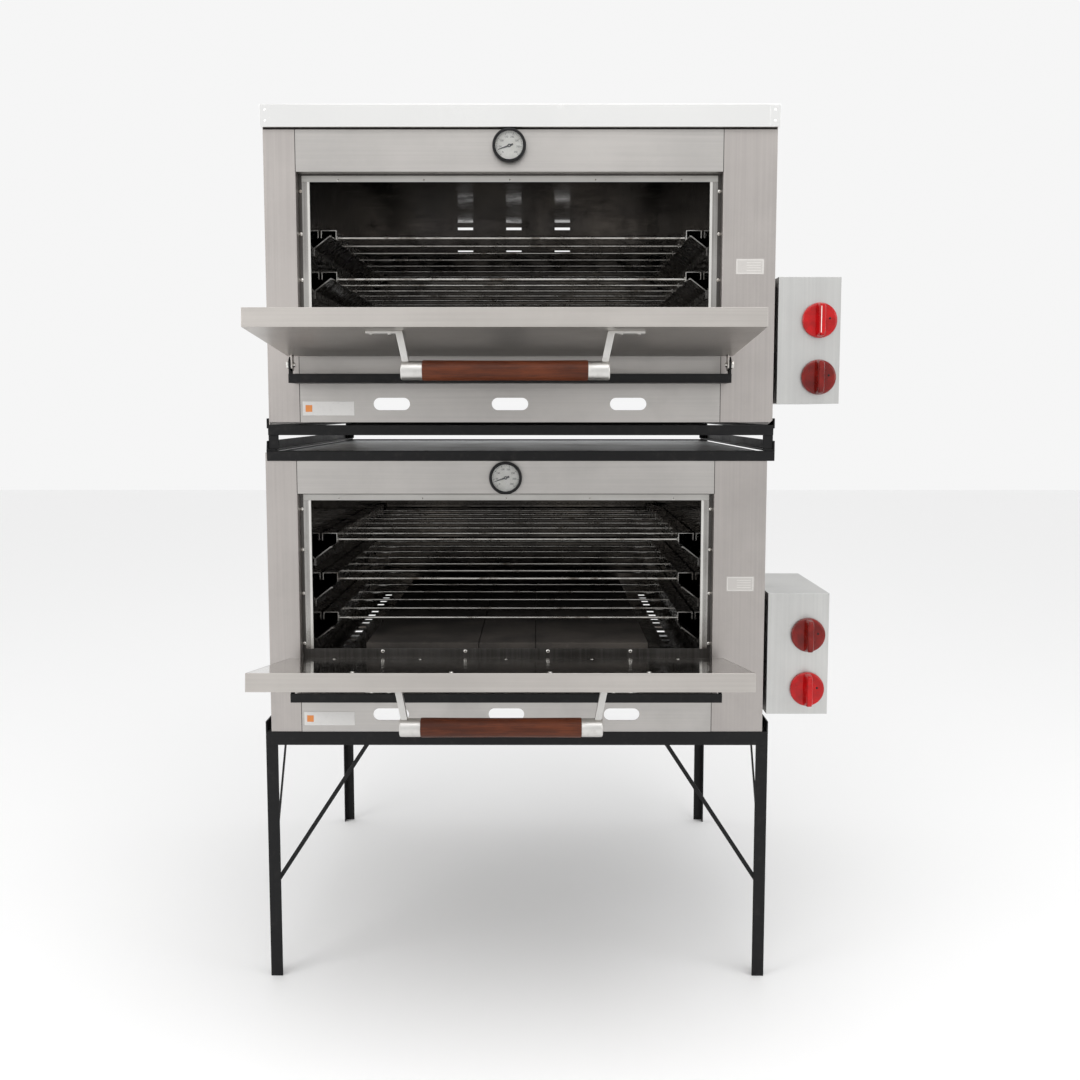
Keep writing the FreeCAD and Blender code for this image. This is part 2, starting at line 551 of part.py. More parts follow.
# guide: a wall flange, a slanting arm and a level ledge, with the rod line of its rack at Z = 0
RAIL_EDGE = "(rail_gap + rail_width)"
GUIDE_TOP = "(rail_rise - rail_inner_lip - guide_gap)"
GUIDE_LOW = f"({GUIDE_TOP} - guide_drop)"
guide_outline = [
    ("0", f"{GUIDE_LOW} - guide_foot"), ("rail_sheet", f"{GUIDE_LOW} - guide_foot"),
    ("rail_sheet", f"{GUIDE_LOW} - rail_sheet"),
    (f"{RAIL_EDGE} - guide_ledge", f"{GUIDE_TOP} - 2 * rail_sheet"),
    (f"{RAIL_EDGE} + guide_lip", f"{GUIDE_TOP} - 2 * rail_sheet"), (f"{RAIL_EDGE} + guide_lip", GUIDE_TOP),
    (f"{RAIL_EDGE} - guide_ledge", GUIDE_TOP), ("0", GUIDE_LOW),
]
rail_outline = [
    ("rail_gap", "rail_rise"), ("rail_gap", "rail_rise - rail_outer_lip"),
    ("rail_gap + rail_sheet", "rail_rise - rail_outer_lip"),
    ("rail_gap + rail_sheet", "rail_rise - rail_sheet"),
    (f"{RAIL_EDGE} - rail_sheet", "rail_rise - rail_sheet"),
    (f"{RAIL_EDGE} - rail_sheet", "rail_rise - rail_inner_lip"),
    (RAIL_EDGE, "rail_rise - rail_inner_lip"), (RAIL_EDGE, "rail_rise"),
]


def on_wall(outline, level):
    return [(f"{INNER_LEFT} + {across}", f"{level} + {rise}") for across, rise in outline]


RACK_START = f"({INNER_FRONT} + rack_front)"
RACK_LENGTH = f"({CHAMBER_DEPTH} - rack_front - rack_back)"
ROD_PITCH = f"(({RACK_LENGTH} - 2 * rod_inset) / (rod_count - 1))"
guides = []
for index in range(sheet.rack_count):
    level = f"(rack_lowest + {index} * rack_pitch)"
    guide = bar("Y", on_wall(guide_outline, level), f"{CHAMBER_DEPTH} - guide_front - guide_back",
                ("0", f"{INNER_FRONT} + guide_front", "0"))
    guides += [guide, mirror(guide, MIDDLE)]
    rail = bar("Y", on_wall(rail_outline, level), RACK_LENGTH, ("0", RACK_START, "0"))
    rods = []
    for step in range(sheet.rod_count):
        start = (f"{INNER_LEFT} + {RAIL_EDGE}", f"{RACK_START} + rod_inset + {step} * {ROD_PITCH}", level)
        rods.append(rod("X", start, "rod_radius", f"{INNER_WIDTH} - 2 * {RAIL_EDGE}"))
    each_deck(f"rack_{index + 1}", [rail, mirror(rail, MIDDLE), *rods])
both_decks("rack_guides", guides)

# ---------------------------------------------------------------- hinge ledge with its ears and pins

LEDGE_LEVEL = "(pivot_height - ledge_drop)"
LEDGE_TOP = f"({LEDGE_LEVEL} + ledge_sheet)"
LEDGE_MIDDLE = f"({LEDGE_LEFT} + {LEDGE_WIDTH} / 2)"
ledge_outline = [
    ("0", LEDGE_LEVEL), ("0", LEDGE_TOP), ("-ledge_front + ledge_sheet", LEDGE_TOP),
    ("-ledge_front + ledge_sheet", f"{LEDGE_TOP} + ledge_lip"),
    ("-ledge_front", f"{LEDGE_TOP} + ledge_lip"), ("-ledge_front", LEDGE_LEVEL),
]
ledge = bar("X", ledge_outline, LEDGE_WIDTH, (LEDGE_LEFT, "0", "0"))
ear_foot = box((LEDGE_LEFT, "-pivot_forward - ear_radius + ledge_sheet", LEDGE_TOP), "ledge_sheet",
               "2 * ear_radius - ledge_sheet", f"pivot_height - {LEDGE_TOP}")
ear_round = rod("X", (LEDGE_LEFT, "-pivot_forward", "pivot_height"), "ear_radius", "ledge_sheet")
ear_bore = rod("X", (f"{LEDGE_LEFT} - through", "-pivot_forward", "pivot_height"),
               "pin_radius + running_gap", "ledge_sheet + 2 * through")
lip_clearance = box((LEDGE_LEFT, "-ledge_front", LEDGE_LEVEL), "ledge_sheet", "ledge_sheet",
                    "ledge_sheet + ledge_lip")
ear = cut(fuse(ear_foot, ear_round), lip_clearance, ear_bore)
each_deck("hinge_ledge", [ledge, ear, mirror(ear, LEDGE_MIDDLE)])

pin_start = (f"{LEDGE_LEFT} - pin_head", "-pivot_forward", "pivot_height")
pin = rod("X", pin_start, "pin_radius", "pin_head + 2 * ledge_sheet + lug_gap + pin_tail")
pins = fuse(pin, rod("X", pin_start, "pin_head_radius", "pin_head"))
both_decks("hinge_pins", [pins, mirror(pins, LEDGE_MIDDLE)])

# ---------------------------------------------------------------- door, in the door frame

# the inner sheet lies flush in the pan's mouth
INNER_FACE = "(skin_offset + door_depth)"
PAN_CORNER = (f"{DOOR_LEFT} + sheet", f"-{REACH} + sheet")
PAN_WIDTH = f"{DOOR_WIDTH} - 2 * sheet"
PAN_LENGTH = f"{REACH} + door_hem - 2 * sheet"
pan = box((DOOR_LEFT, f"-{REACH}", "skin_offset"), DOOR_WIDTH, f"{REACH} + door_hem", "door_depth")
hollow = box((*PAN_CORNER, "skin_offset + sheet"), PAN_WIDTH, PAN_LENGTH, "door_depth")
LUG_LEFT = f"({LEDGE_LEFT} + ledge_sheet + lug_gap)"
lug_foot = box((LUG_LEFT, "-lug_radius", "0"), "ledge_sheet", "2 * lug_radius - lug_setback",
               "skin_offset")
lug_round = rod("X", (LUG_LEFT, "0", "0"), "lug_radius", "ledge_sheet")
lug_bore = rod("X", (f"{LUG_LEFT} - through", "0", "0"), "pin_radius + running_gap",
               "ledge_sheet + 2 * through")
lug_trim = box((f"{LUG_LEFT} - through", "door_hem", "0"), "ledge_sheet + 2 * through", "lug_radius",
               "skin_offset + through")
lug = cut(fuse(lug_foot, lug_round), lug_bore, lug_trim)
on_doors("door_skin", [cut(pan, hollow), lug, mirror(lug, LEDGE_MIDDLE)])
on_doors("door_inner_panel", [box((*PAN_CORNER, f"{INNER_FACE} - sheet"), PAN_WIDTH, PAN_LENGTH,
                                  "sheet")])
on_doors("door_core", [box((*PAN_CORNER, "skin_offset + sheet"), PAN_WIDTH, PAN_LENGTH,
                           "door_depth - 2 * sheet")])


def screw_row(step, count):
    """How far from the middle one screw of an even row stands."""
    return f"({step} - ({count} - 1) / 2) * screw_pitch"


# the row along the lip has one screw fewer than the row along the hem
door_screws = []
for fewer, along in ((1, f"-{REACH} + screw_edge"), (0, "-screw_edge")):
    for step in range(sheet.screw_count - fewer):
        across = f"{DOOR_MIDDLE} + {screw_row(step, f'(screw_count - {fewer})')}"
        door_screws.append(rod("Z", (across, along, INNER_FACE), "screw_radius", "screw_head"))
on_doors("door_screws", door_screws)

# handle: foot plates with leaning arms, end caps and a wooden grip
HANDLE_Y = f"(-({REACH} - handle_inset))"
HANDLE_Z = "(skin_offset - handle_drop)"
arm_outline = [(f"{DOOR_MIDDLE} - ({across})", up) for across, up in (
    ("arm_top + foot_length", "skin_offset"), ("arm_top - arm_width / 2", "skin_offset"),
    ("arm_bottom - arm_width / 2", HANDLE_Z), ("arm_bottom + arm_width / 2", HANDLE_Z),
    ("arm_top + arm_width / 2", "skin_offset - foot_sheet"),
    ("arm_top + foot_length", "skin_offset - foot_sheet"))]
arm = bar("Y", arm_outline, "arm_depth", ("0", f"{HANDLE_Y} - arm_depth / 2", "0"))
cap = rod("X", (f"{DOOR_MIDDLE} - grip_length / 2 - cap_length", HANDLE_Y, HANDLE_Z), "cap_radius",
          "cap_length")
arm_on_cap = cut(arm, cap)
on_doors("handle_arms", [arm_on_cap, mirror(arm_on_cap, DOOR_MIDDLE)])
on_doors("handle_caps", [cap, mirror(cap, DOOR_MIDDLE)])
on_doors("handle_grip", [rod("X", (f"{DOOR_MIDDLE} - grip_length / 2", HANDLE_Y, HANDLE_Z),
                             "grip_radius", "grip_length")])

# ---------------------------------------------------------------- thermometer in the header

needle_outline = [
    ("-needle_tail", "-needle_half"), ("0", "-needle_half"), ("dial_radius - needle_inset", "-needle_tip"),
    ("dial_radius - needle_inset", "needle_tip"), ("0", "needle_half"), ("-needle_tail", "needle_half"),
]
cases = []
dials = []
glasses = []
for deck in DECKS:
    level = DIAL_LEVELS[deck]
    bezel = rod("Y", (MIDDLE, "-bezel_depth", level), BEZEL_RADIUS, "bezel_depth")
    bezel_hollow = rod("Y", (MIDDLE, "-bezel_depth - through", level), "dial_radius",
                       "bezel_depth + through - dial_setback")
    stem = rod("Y", (MIDDLE, "-0.5 * sheet", level), "stem_radius", "stem_length")
    cases.append(place([fuse(cut(bezel, bezel_hollow), stem)], deck))
    arbor = rod("Y", (MIDDLE, "-bezel_depth / 2 - 2 * needle_sheet", level), "arbor_radius",
                "3 * needle_sheet")
    dial = rod("Y", (MIDDLE, "-bezel_depth / 2", level), "dial_radius", "bezel_depth / 2 - dial_setback")
    dials.append(place([fuse(dial, arbor)], deck))
    glasses.append(place([rod("Y", (MIDDLE, "-bezel_depth + glass_sheet", level), "dial_radius",
                              "glass_sheet")], deck))
    needle = bar("Y", needle_outline, "needle_sheet")
    hub = rod("Y", ("0", "-needle_sheet / 2", "0"), "needle_hub", "1.5 * needle_sheet")
    needle_bore = rod("Y", ("0", "-through", "0"), "arbor_radius + running_gap", "2 * through")
    pointer = cut(fuse(needle, hub), needle_bore)
    pointer.Placement = FreeCAD.Placement(FreeCAD.Vector(),
                                          FreeCAD.Rotation(FreeCAD.Vector(0, -1, 0), sheet.pointer_angle))
    bind(pointer, "Placement.Rotation.Angle", "pointer_angle * 1 deg")
    bind_base(pointer, (MIDDLE, "-bezel_depth / 2 - 1.2 * needle_sheet", level))
    sub_part(f"{deck}_thermometer_pointer", [pointer], deck)
joined("thermometer_cases", cases)
joined("thermometer_dials", dials)
joined("thermometer_glasses", glasses)

# ---------------------------------------------------------------- control box, knobs and gas pipes

KNOB_LEVELS = ("knob_high", "knob_low")
MANIFOLD_LEVEL = "((knob_low + knob_high) / 2)"
shell = box((BOX_LEFT, "box_front", "box_bottom"), "box_width", "box_depth", "box_height")
shell_hollow = box((f"{BOX_LEFT} + sheet", "box_front + sheet", "box_bottom + sheet"),
                   "box_width - 2 * sheet", "box_depth - 2 * sheet", "box_height - 2 * sheet")
stem_holes = [rod("Y", (KNOB_X, "box_front - through", level), "valve_stem + stem_room", "3 * through")
              for level in KNOB_LEVELS]
side_holes = [rod("X", (f"{BOX_LEFT} - through", PIPE_Y, level), "pipe_hole", "3 * through")
              for level in KNOB_LEVELS]
inlet_hole = rod("Y", (KNOB_X, "box_front + box_depth - 2 * through", MANIFOLD_LEVEL),
                 "supply_radius + running_gap", "4 * through")
each_deck("control_box", [cut(shell, shell_hollow, *stem_holes, *side_holes, inlet_hole)])
both_decks("control_box_mounts", [
    box((RIGHT, along, level), "box_gap", "mount_block", "mount_block")
    for along in ("box_front + mount_inset", "box_front + box_depth - mount_inset - mount_block")
    for level in ("box_bottom + mount_rise", "box_bottom + box_height - 1.5 * mount_block")])

KNOB_BACK = "(box_front - knob_gap)"
for number, level in enumerate(KNOB_LEVELS, start=1):
    disc = rod("Y", (KNOB_X, f"{KNOB_BACK} - knob_base", level), "knob_radius", "knob_base")
    grip = box((f"{KNOB_X} - knob_bar / 2", f"{KNOB_BACK} - knob_base - knob_grip",
                f"{level} - knob_radius + knob_rim"), "knob_bar", "knob_grip",
               "2 * (knob_radius - knob_rim)")
    knob_bore = rod("Y", (KNOB_X, f"{KNOB_BACK} - knob_base - stem_grip - 0.2 * through", level),
                    "valve_stem + running_gap", "knob_base + stem_grip + through")
    each_deck(f"knob_{number}", [cut(fuse(disc, grip), knob_bore)])

DROP_X = f"({INNER_RIGHT} + right_post / 2)"
FEED_LEVEL = "(burner_level + feed_rise)"
FAR_X, NEAR_X = (f"({MIDDLE} {sign} burner_spread)" for sign in "-+")
STEM_START = f"({KNOB_BACK} - knob_base - stem_grip)"
VALVE_START = "(box_front + valve_setback)"
VALVE_END = f"({VALVE_START} + valve_length)"
valves = [
    rod("Z", (KNOB_X, PIPE_Y, "knob_low - pipe_radius"), "pipe_radius",
        "knob_high - knob_low + 2 * pipe_radius"),
    rod("Y", (KNOB_X, PIPE_Y, MANIFOLD_LEVEL), "supply_radius", "box_depth - manifold_back"),
    rod("Y", (KNOB_X, "box_front + box_depth", MANIFOLD_LEVEL), "inlet_radius", "inlet_length"),
]
for level in KNOB_LEVELS:
    valves += [
        rod("Y", (KNOB_X, STEM_START, level), "valve_stem", f"{VALVE_START} - {STEM_START}"),
        rod("Y", (KNOB_X, VALVE_START, level), "valve_radius", "valve_length"),
        rod("Y", (KNOB_X, VALVE_END, level), "pipe_radius", f"{PIPE_Y} - {VALVE_END}"),
    ]


def feed(start_x, end_x, level, branch):
    """A cross pipe between two X places, with the branch that it meets."""
    cross = rod("X", (f"{start_x} - pipe_radius", PIPE_Y, level), "pipe_radius",
                f"{end_x} - {start_x} + pipe_radius")
    return fuse(cross, branch)


MANIFOLD_SIDE = f"({KNOB_X} - pipe_radius)"
near_feed = feed(NEAR_X, MANIFOLD_SIDE, "knob_low",
                 rod("Y", (NEAR_X, PIPE_Y, "knob_low"), "pipe_radius", f"burner_front - {PIPE_Y}"))
far_feed = feed(FAR_X, f"({DROP_X} - pipe_radius)", FEED_LEVEL,
                rod("Y", (FAR_X, PIPE_Y, FEED_LEVEL), "pipe_radius", f"burner_front - {PIPE_Y}"))
drop_feed = feed(DROP_X, MANIFOLD_SIDE, "knob_high",
                 rod("Z", (DROP_X, PIPE_Y, f"{FEED_LEVEL} - pipe_radius"), "pipe_radius",
                     f"knob_high - {FEED_LEVEL} + pipe_radius"))
BURNER_END = "(body_depth - burner_back)"
tubes = [rod("Y", (across, "burner_front", "burner_level"), "burner_radius",
             f"{BURNER_END} - burner_front") for across in (FAR_X, NEAR_X)]
rests = [box((f"{LEFT} + sheet", along, "burner_level - burner_radius - burner_rail_height"),
             "body_width - 2 * sheet", "burner_rail", "burner_rail_height")
         for along in ("burner_front + burner_rail_inset",
                       f"{BURNER_END} - burner_rail_inset - burner_rail")]
both_decks("burners", [fuse(*valves), near_feed, far_feed, drop_feed, *tubes, *rests])

# ---------------------------------------------------------------- casing screws and blank plates

# the row along the sill has one screw fewer than the row along the head
screws = []
for fewer, level in ((0, f"{HEAD} + screw_radius"), (1, f"{SILL} - screw_radius - sheet")):
    for step in range(sheet.screw_count - fewer):
        across = f"{MIDDLE} + {screw_row(step, f'(screw_count - {fewer})')}"
        screws.append(rod("Y", (across, "jamb_depth - screw_head", level), "screw_radius", "screw_head"))
both_decks("jamb_screws", screws)
both_decks("blank_plates", [
    box((f"{RIGHT} - plate_aside - plate_width", "-plate_sheet", "plate_level"), "plate_width",
        "plate_sheet", "plate_height"),
    box((f"{SEAM_LEFT} + badge_aside", "-plate_sheet", "badge_level"), "badge_width", "plate_sheet",
        "badge_height"),
])

# ---------------------------------------------------------------- lid

LID_WIDTH = "(body_width + 2 * lid_overhang)"
LID_DEPTH = "(body_depth + lid_front + lid_overhang)"
LID_LEFT = f"({LEFT} - lid_overhang)"
lid_block = box((LID_LEFT, "-lid_front", "body_height"), LID_WIDTH, LID_DEPTH, "lid_height")
lid_hollow = box((f"{LID_LEFT} + lid_sheet", "-lid_front + lid_sheet", "body_height + lid_sheet"),
                 f"{LID_WIDTH} - 2 * lid_sheet", f"{LID_DEPTH} - 2 * lid_sheet",
                 "lid_height - 2 * lid_sheet")
lid_mouth = box((f"{LID_LEFT} + lid_hem", "-lid_front + lid_hem", "body_height - through"),
                f"{LID_WIDTH} - 2 * lid_hem", f"{LID_DEPTH} - 2 * lid_hem", "lid_sheet + 2 * through")
sub_part("lid", [cut(lid_block, lid_hollow, lid_mouth)], "upper")

# ---------------------------------------------------------------- recompute, check and write

doc.recompute()
faults = [thing.Name for thing in doc.Objects if {"Invalid", "Error"} & set(thing.State)]
for node in finished:
    shape = node.Shape
    if shape.isNull() or not shape.isValid() or not shape.Solids:
        faults.append(node.Label)
if faults:
    raise ValueError(f"failed objects: {faults}")
os.makedirs("parts", exist_ok=True)
for node in finished:
    node.Shape.exportStep(f"parts/{node.Label}.step")
whole = FreeCAD.BoundBox()
for node in finished:
    whole.add(node.Shape.BoundBox)
print(len(finished), "sub-parts", sum(len(node.Shape.Solids) for node in finished), "solids", whole)
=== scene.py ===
"""Twin stacked gas deck oven on its stand: the visible pieces, their finishes, and the studio."""
import json
import math
import random

import bmesh
import bpy
from mathutils import Matrix, Vector


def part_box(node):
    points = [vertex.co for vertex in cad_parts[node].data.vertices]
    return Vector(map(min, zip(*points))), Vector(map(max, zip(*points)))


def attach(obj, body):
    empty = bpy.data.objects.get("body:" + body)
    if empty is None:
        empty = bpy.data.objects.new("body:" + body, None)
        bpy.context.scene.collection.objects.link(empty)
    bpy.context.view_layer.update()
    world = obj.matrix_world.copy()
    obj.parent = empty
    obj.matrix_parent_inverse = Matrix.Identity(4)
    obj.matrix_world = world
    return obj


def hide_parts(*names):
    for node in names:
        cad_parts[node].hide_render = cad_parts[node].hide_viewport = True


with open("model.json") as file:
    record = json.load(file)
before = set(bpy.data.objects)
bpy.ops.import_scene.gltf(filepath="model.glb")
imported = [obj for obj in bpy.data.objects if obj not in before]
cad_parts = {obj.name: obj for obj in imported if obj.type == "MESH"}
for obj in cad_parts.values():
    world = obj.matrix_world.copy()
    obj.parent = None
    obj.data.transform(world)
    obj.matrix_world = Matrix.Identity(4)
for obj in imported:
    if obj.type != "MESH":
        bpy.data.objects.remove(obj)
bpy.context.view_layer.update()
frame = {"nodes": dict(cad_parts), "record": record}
MM = 0.001
DECKS = ("lower", "upper")

# ---------------------------------------------------------------- studio
# A pale floor under soft light: a wide overhead panel, one panel from each side of the cook,
# and an even bright surround, because sheet steel only looks like steel when it has something to mirror.
body_low, body_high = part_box("upper_side_panels")
BODY_MIDDLE = (body_low.x + body_high.x) / 2
BODY_FRONT = body_low.y

studio = bpy.context.scene
studio.view_settings.view_transform = "Standard"
studio.view_settings.look = "None"
world = bpy.data.worlds.new("surround")
world.use_nodes = True
SURROUND = (1.0, 1.0, 1.0, 1)
world.node_tree.nodes["Background"].inputs["Color"].default_value = SURROUND
world.node_tree.nodes["Background"].inputs["Strength"].default_value = 0.92
studio.world = world

FLOOR_REACH = 14
floor_mesh = bpy.data.meshes.new("floor")
floor_mesh.from_pydata([(-FLOOR_REACH, -FLOOR_REACH, 0), (FLOOR_REACH, -FLOOR_REACH, 0),
                        (FLOOR_REACH, FLOOR_REACH, 0), (-FLOOR_REACH, FLOOR_REACH, 0)], [], [(0, 1, 2, 3)])
floor = bpy.data.objects.new("floor", floor_mesh)
studio.collection.objects.link(floor)
floor_paint = bpy.data.materials.new("pale floor")
floor_paint.use_nodes = True
floor_paint.node_tree.nodes["Principled BSDF"].inputs["Base Color"].default_value = (0.93, 0.93, 0.93, 1)
floor_paint.node_tree.nodes["Principled BSDF"].inputs["Roughness"].default_value = 0.75
floor_mesh.materials.append(floor_paint)

SOFT_PANELS = {
    "overhead": ((0.3, -1.6, 3.4), (0.2, 0.15, 1.0), 2.4, 34),
    "left": ((-2.6, -2.3, 1.9), (0, 0, 0.8), 1.6, 26),
    "right": ((2.9, -2.0, 1.6), (0, 0, 0.9), 1.5, 16),
}
for panel_name, (place, target, width, power) in SOFT_PANELS.items():
    lamp = bpy.data.lights.new(panel_name, "AREA")
    lamp.shape = "SQUARE"
    lamp.size = width
    lamp.energy = power
    lamp_object = bpy.data.objects.new(panel_name, lamp)
    lamp_object.location = place
    lamp_object.rotation_euler = (Vector(target) - Vector(place)).to_track_quat("-Z", "Y").to_euler()
    studio.collection.objects.link(lamp_object)

CAMERA_ASIDE, CAMERA_BACK, CAMERA_HEIGHT = 0.037, 2.2427, 1.055
CAMERA_DIP, CAMERA_TURN, CAMERA_LENS = 0.10378, 0.00108, 41.64
camera = bpy.data.objects.new("camera", bpy.data.cameras.new("camera"))
camera.location = (BODY_MIDDLE + CAMERA_ASIDE, BODY_FRONT - CAMERA_BACK, CAMERA_HEIGHT)
camera.rotation_euler = (math.pi / 2 - CAMERA_DIP, 0, CAMERA_TURN)
camera.data.sensor_width = 36
camera.data.lens = CAMERA_LENS
studio.collection.objects.link(camera)
studio.camera = camera

# ---------------------------------------------------------------- stand and spacer frame
# Rolled mild-steel angle, cut, welded and brushed with satin black enamel: the stand's rails, legs and
# thin braces, and the two rings and four short posts that hold the upper oven off the lower one.


class Wire:
    """One shader socket. Arithmetic on wires adds Math nodes, and make adds any other node."""

    def __init__(self, tree, socket):
        self.tree = tree
        self.socket = socket

    def make(self, kind, settings, inputs, output=0):
        node = self.tree.nodes.new(kind)
        for name, setting in settings.items():
            if name == "stops":
                ramp = node.color_ramp
                while len(ramp.elements) < len(setting):
                    ramp.elements.new(0.5)
                for element, (spot, colour) in zip(ramp.elements, setting):
                    element.position = spot
                    element.color = (*colour, 1)
            else:
                setattr(node, name, setting)
        for name, value in inputs.items():
            if isinstance(value, Wire):
                self.tree.links.new(value.socket, node.inputs[name])
            else:
                node.inputs[name].default_value = value
        return Wire(self.tree, node.outputs[output])

    def sum(self, operation, first, second):
        return self.make("ShaderNodeMath", {"operation": operation}, {0: first, 1: second})

    def __add__(self, other):
        return self.sum("ADD", self, other)

    def __radd__(self, other):
        return self.sum("ADD", other, self)

    def __sub__(self, other):
        return self.sum("SUBTRACT", self, other)

    def __rsub__(self, other):
        return self.sum("SUBTRACT", other, self)

    def __mul__(self, other):
        return self.sum("MULTIPLY", self, other)

    def __rmul__(self, other):
        return self.sum("MULTIPLY", other, self)

    def stretched(self, scale):
        """Coordinates drawn out along some axes, for grain."""
        return self.make("ShaderNodeVectorMath", {"operation": "MULTIPLY"}, {0: self, 1: scale})

    def noise(self, scale, detail=3.0, rough=0.5):
        return self.make("ShaderNodeTexNoise", {}, {"Vector": self, "Scale": scale, "Detail": detail,
                                                    "Roughness": rough})

    def between(self, low, high):
        """0 below low, 1 above high, and a smooth step from one to the other."""
        return self.make("ShaderNodeMapRange", {"interpolation_type": "SMOOTHSTEP", "clamp": True},
                         {"Value": self, "From Min": low, "From Max": high})

    def tint(self, low, high):
        """The wire as a factor between two colours, or two colour wires."""
        ends = [colour if isinstance(colour, Wire) else (*colour, 1) for colour in (low, high)]
        return self.make("ShaderNodeMix", {"data_type": "RGBA"}, {0: self, 6: ends[0], 7: ends[1]}, 2)

    def bump(self, height, strength):
        return self.make("ShaderNodeBump", {}, {"Height": height, "Distance": MM, "Strength": strength})


def new_finish(name, **fixed):
    """An empty material: its place wire, its shader node, and its fixed shader values."""
    material = bpy.data.materials.new(name)
    material.use_nodes = True
    tree = material.node_tree
    shader = tree.nodes["Principled BSDF"]
    for socket, value in fixed.items():
        shader.inputs[socket.replace("_", " ")].default_value = value
    coordinates = tree.nodes.new("ShaderNodeTexCoord")
    return material, Wire(tree, coordinates.outputs["Object"]), shader


def feed(shader, **wires):
    for socket, wire in wires.items():
        wire.tree.links.new(wire.socket, shader.inputs[socket.replace("_", " ")])


def enamel_finish():
    material, place, shader = new_finish("black enamel", Metallic=0.0, IOR=1.45, Specular_IOR_Level=0.3)
    cloudy = place.noise(9, 5)
    fine = place.noise(900, 2)
    dust = place.noise(60, 6, 0.7).between(0.5, 0.78)
    colour = (dust * 0.22).tint((0.0035, 0.0035, 0.004), (0.06, 0.055, 0.05))
    feed(shader, Base_Color=colour, Roughness=0.36 + cloudy * 0.22 + dust * 0.15,
         Normal=place.bump(fine + cloudy, 0.12))
    return material


record = frame["record"]
SLOT_OF = {entry["node"]: entry["material_slot"] for entry in record["subparts"]}
BODY_OF = {node: body for body, nodes in record["behaviour"]["bodies"].items() for node in nodes}


def add_piece(name, mesh, material, body, slot, *stands_for):
    piece = bpy.data.objects.new(name, mesh)
    mesh.materials.clear()
    mesh.materials.append(material)
    studio.collection.objects.link(piece)
    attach(piece, body)
    if stands_for:
        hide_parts(*stands_for)
    return piece


SHARP = math.radians(32)


def shade(shape):
    """Smooth faces with creases wherever two faces meet at an angle."""
    for face in shape.faces:
        face.smooth = True
    for edge in shape.edges:
        edge.smooth = len(edge.link_faces) == 2 and edge.calc_face_angle(0) < SHARP


def soften(piece, radius, steps=2):
    """Round a piece's sharp edges over to a radius in millimetres."""
    bevel = piece.modifiers.new("edges", "BEVEL")
    bevel.width = radius * MM
    bevel.segments = steps
    bevel.limit_method = "ANGLE"
    bevel.angle_limit = SHARP
    bevel.harden_normals = True
    return piece


def eased(node, material, radius=0.5, steps=2):
    """A CAD node with its edges eased, as sheared, rolled or moulded edges are."""
    shape = bmesh.new()
    shape.from_mesh(frame["nodes"][node].data)
    bmesh.ops.remove_doubles(shape, verts=shape.verts, dist=1e-6)
    bmesh.ops.dissolve_limit(shape, angle_limit=math.radians(0.6), verts=shape.verts, edges=shape.edges)
    shade(shape)
    mesh = bpy.data.meshes.new(f"{node} eased")
    shape.to_mesh(mesh)
    shape.free()
    piece = add_piece(f"{node}_eased", mesh, material, BODY_OF[node], SLOT_OF[node], node)
    return soften(piece, radius, steps)


enamel = enamel_finish()
for node in ("stand_rails", "stand_legs", "spacer_lower_ring", "spacer_upper_ring", "spacer_posts"):
    eased(node, enamel, 0.9)
eased("stand_braces", enamel, 0.6)


def bead(shape, start, end, radius, dice):
    """A weld: a short row of overlapping flattened drops from start to end."""
    run = end - start
    count = max(2, round(run.length / (radius * 0.9)))
    for step in range(count + 1):
        centre = start + run * step / count
        swell = radius * dice.uniform(0.8, 1.15)
        drop = bmesh.ops.create_icosphere(shape, subdivisions=2, radius=swell)
        for vertex in drop["verts"]:
            vertex.co = vertex.co + centre


def as_mesh(shape, name):
    shade(shape)
    mesh = bpy.data.meshes.new(name)
    shape.to_mesh(mesh)
    shape.free()
    return mesh


dice = random.Random(7)
BEAD, POST_BEAD = 2.2 * MM, 1.7 * MM
LEG_INSET, POST_INSET, POST_WELD = 3 * MM, 2 * MM, 12 * MM
legs_low, legs_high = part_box("stand_legs")
LEG = 22 * MM
welds = bmesh.new()
for x, inward in ((legs_low.x + LEG_INSET, 1), (legs_high.x - LEG_INSET, -1)):
    for y, back in ((legs_low.y + LEG_INSET, 1), (legs_high.y - LEG_INSET, -1)):
        top = legs_high.z
        bead(welds, Vector((x, y, top)), Vector((x + inward * LEG * 0.8, y, top)), BEAD, dice)
        bead(welds, Vector((x, y, top)), Vector((x, y + back * LEG * 0.8, top)), BEAD, dice)
add_piece("stand_welds", as_mesh(welds, "stand welds"), enamel, "casing", "stand_legs")

posts_low, posts_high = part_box("spacer_posts")
welds = bmesh.new()
for x in (posts_low.x + POST_INSET, posts_high.x - POST_INSET):
    for y in (posts_low.y + POST_INSET, posts_high.y - POST_INSET):
        for z in (posts_low.z, posts_high.z):
            reach = math.copysign(POST_WELD, (posts_low.x + posts_high.x) / 2 - x)
            bead(welds, Vector((x, y, z)), Vector((x + reach, y, z)), POST_BEAD, dice)
add_piece("spacer_welds", as_mesh(welds, "spacer welds"), enamel, "casing", "spacer_posts")

# ---------------------------------------------------------------- casing
# Satin stainless sheet, sheared and folded: the sides with their front posts, header, front panel with
# three air slots, the recessed jamb, and galvanised back and top sheets that nobody is meant to see.


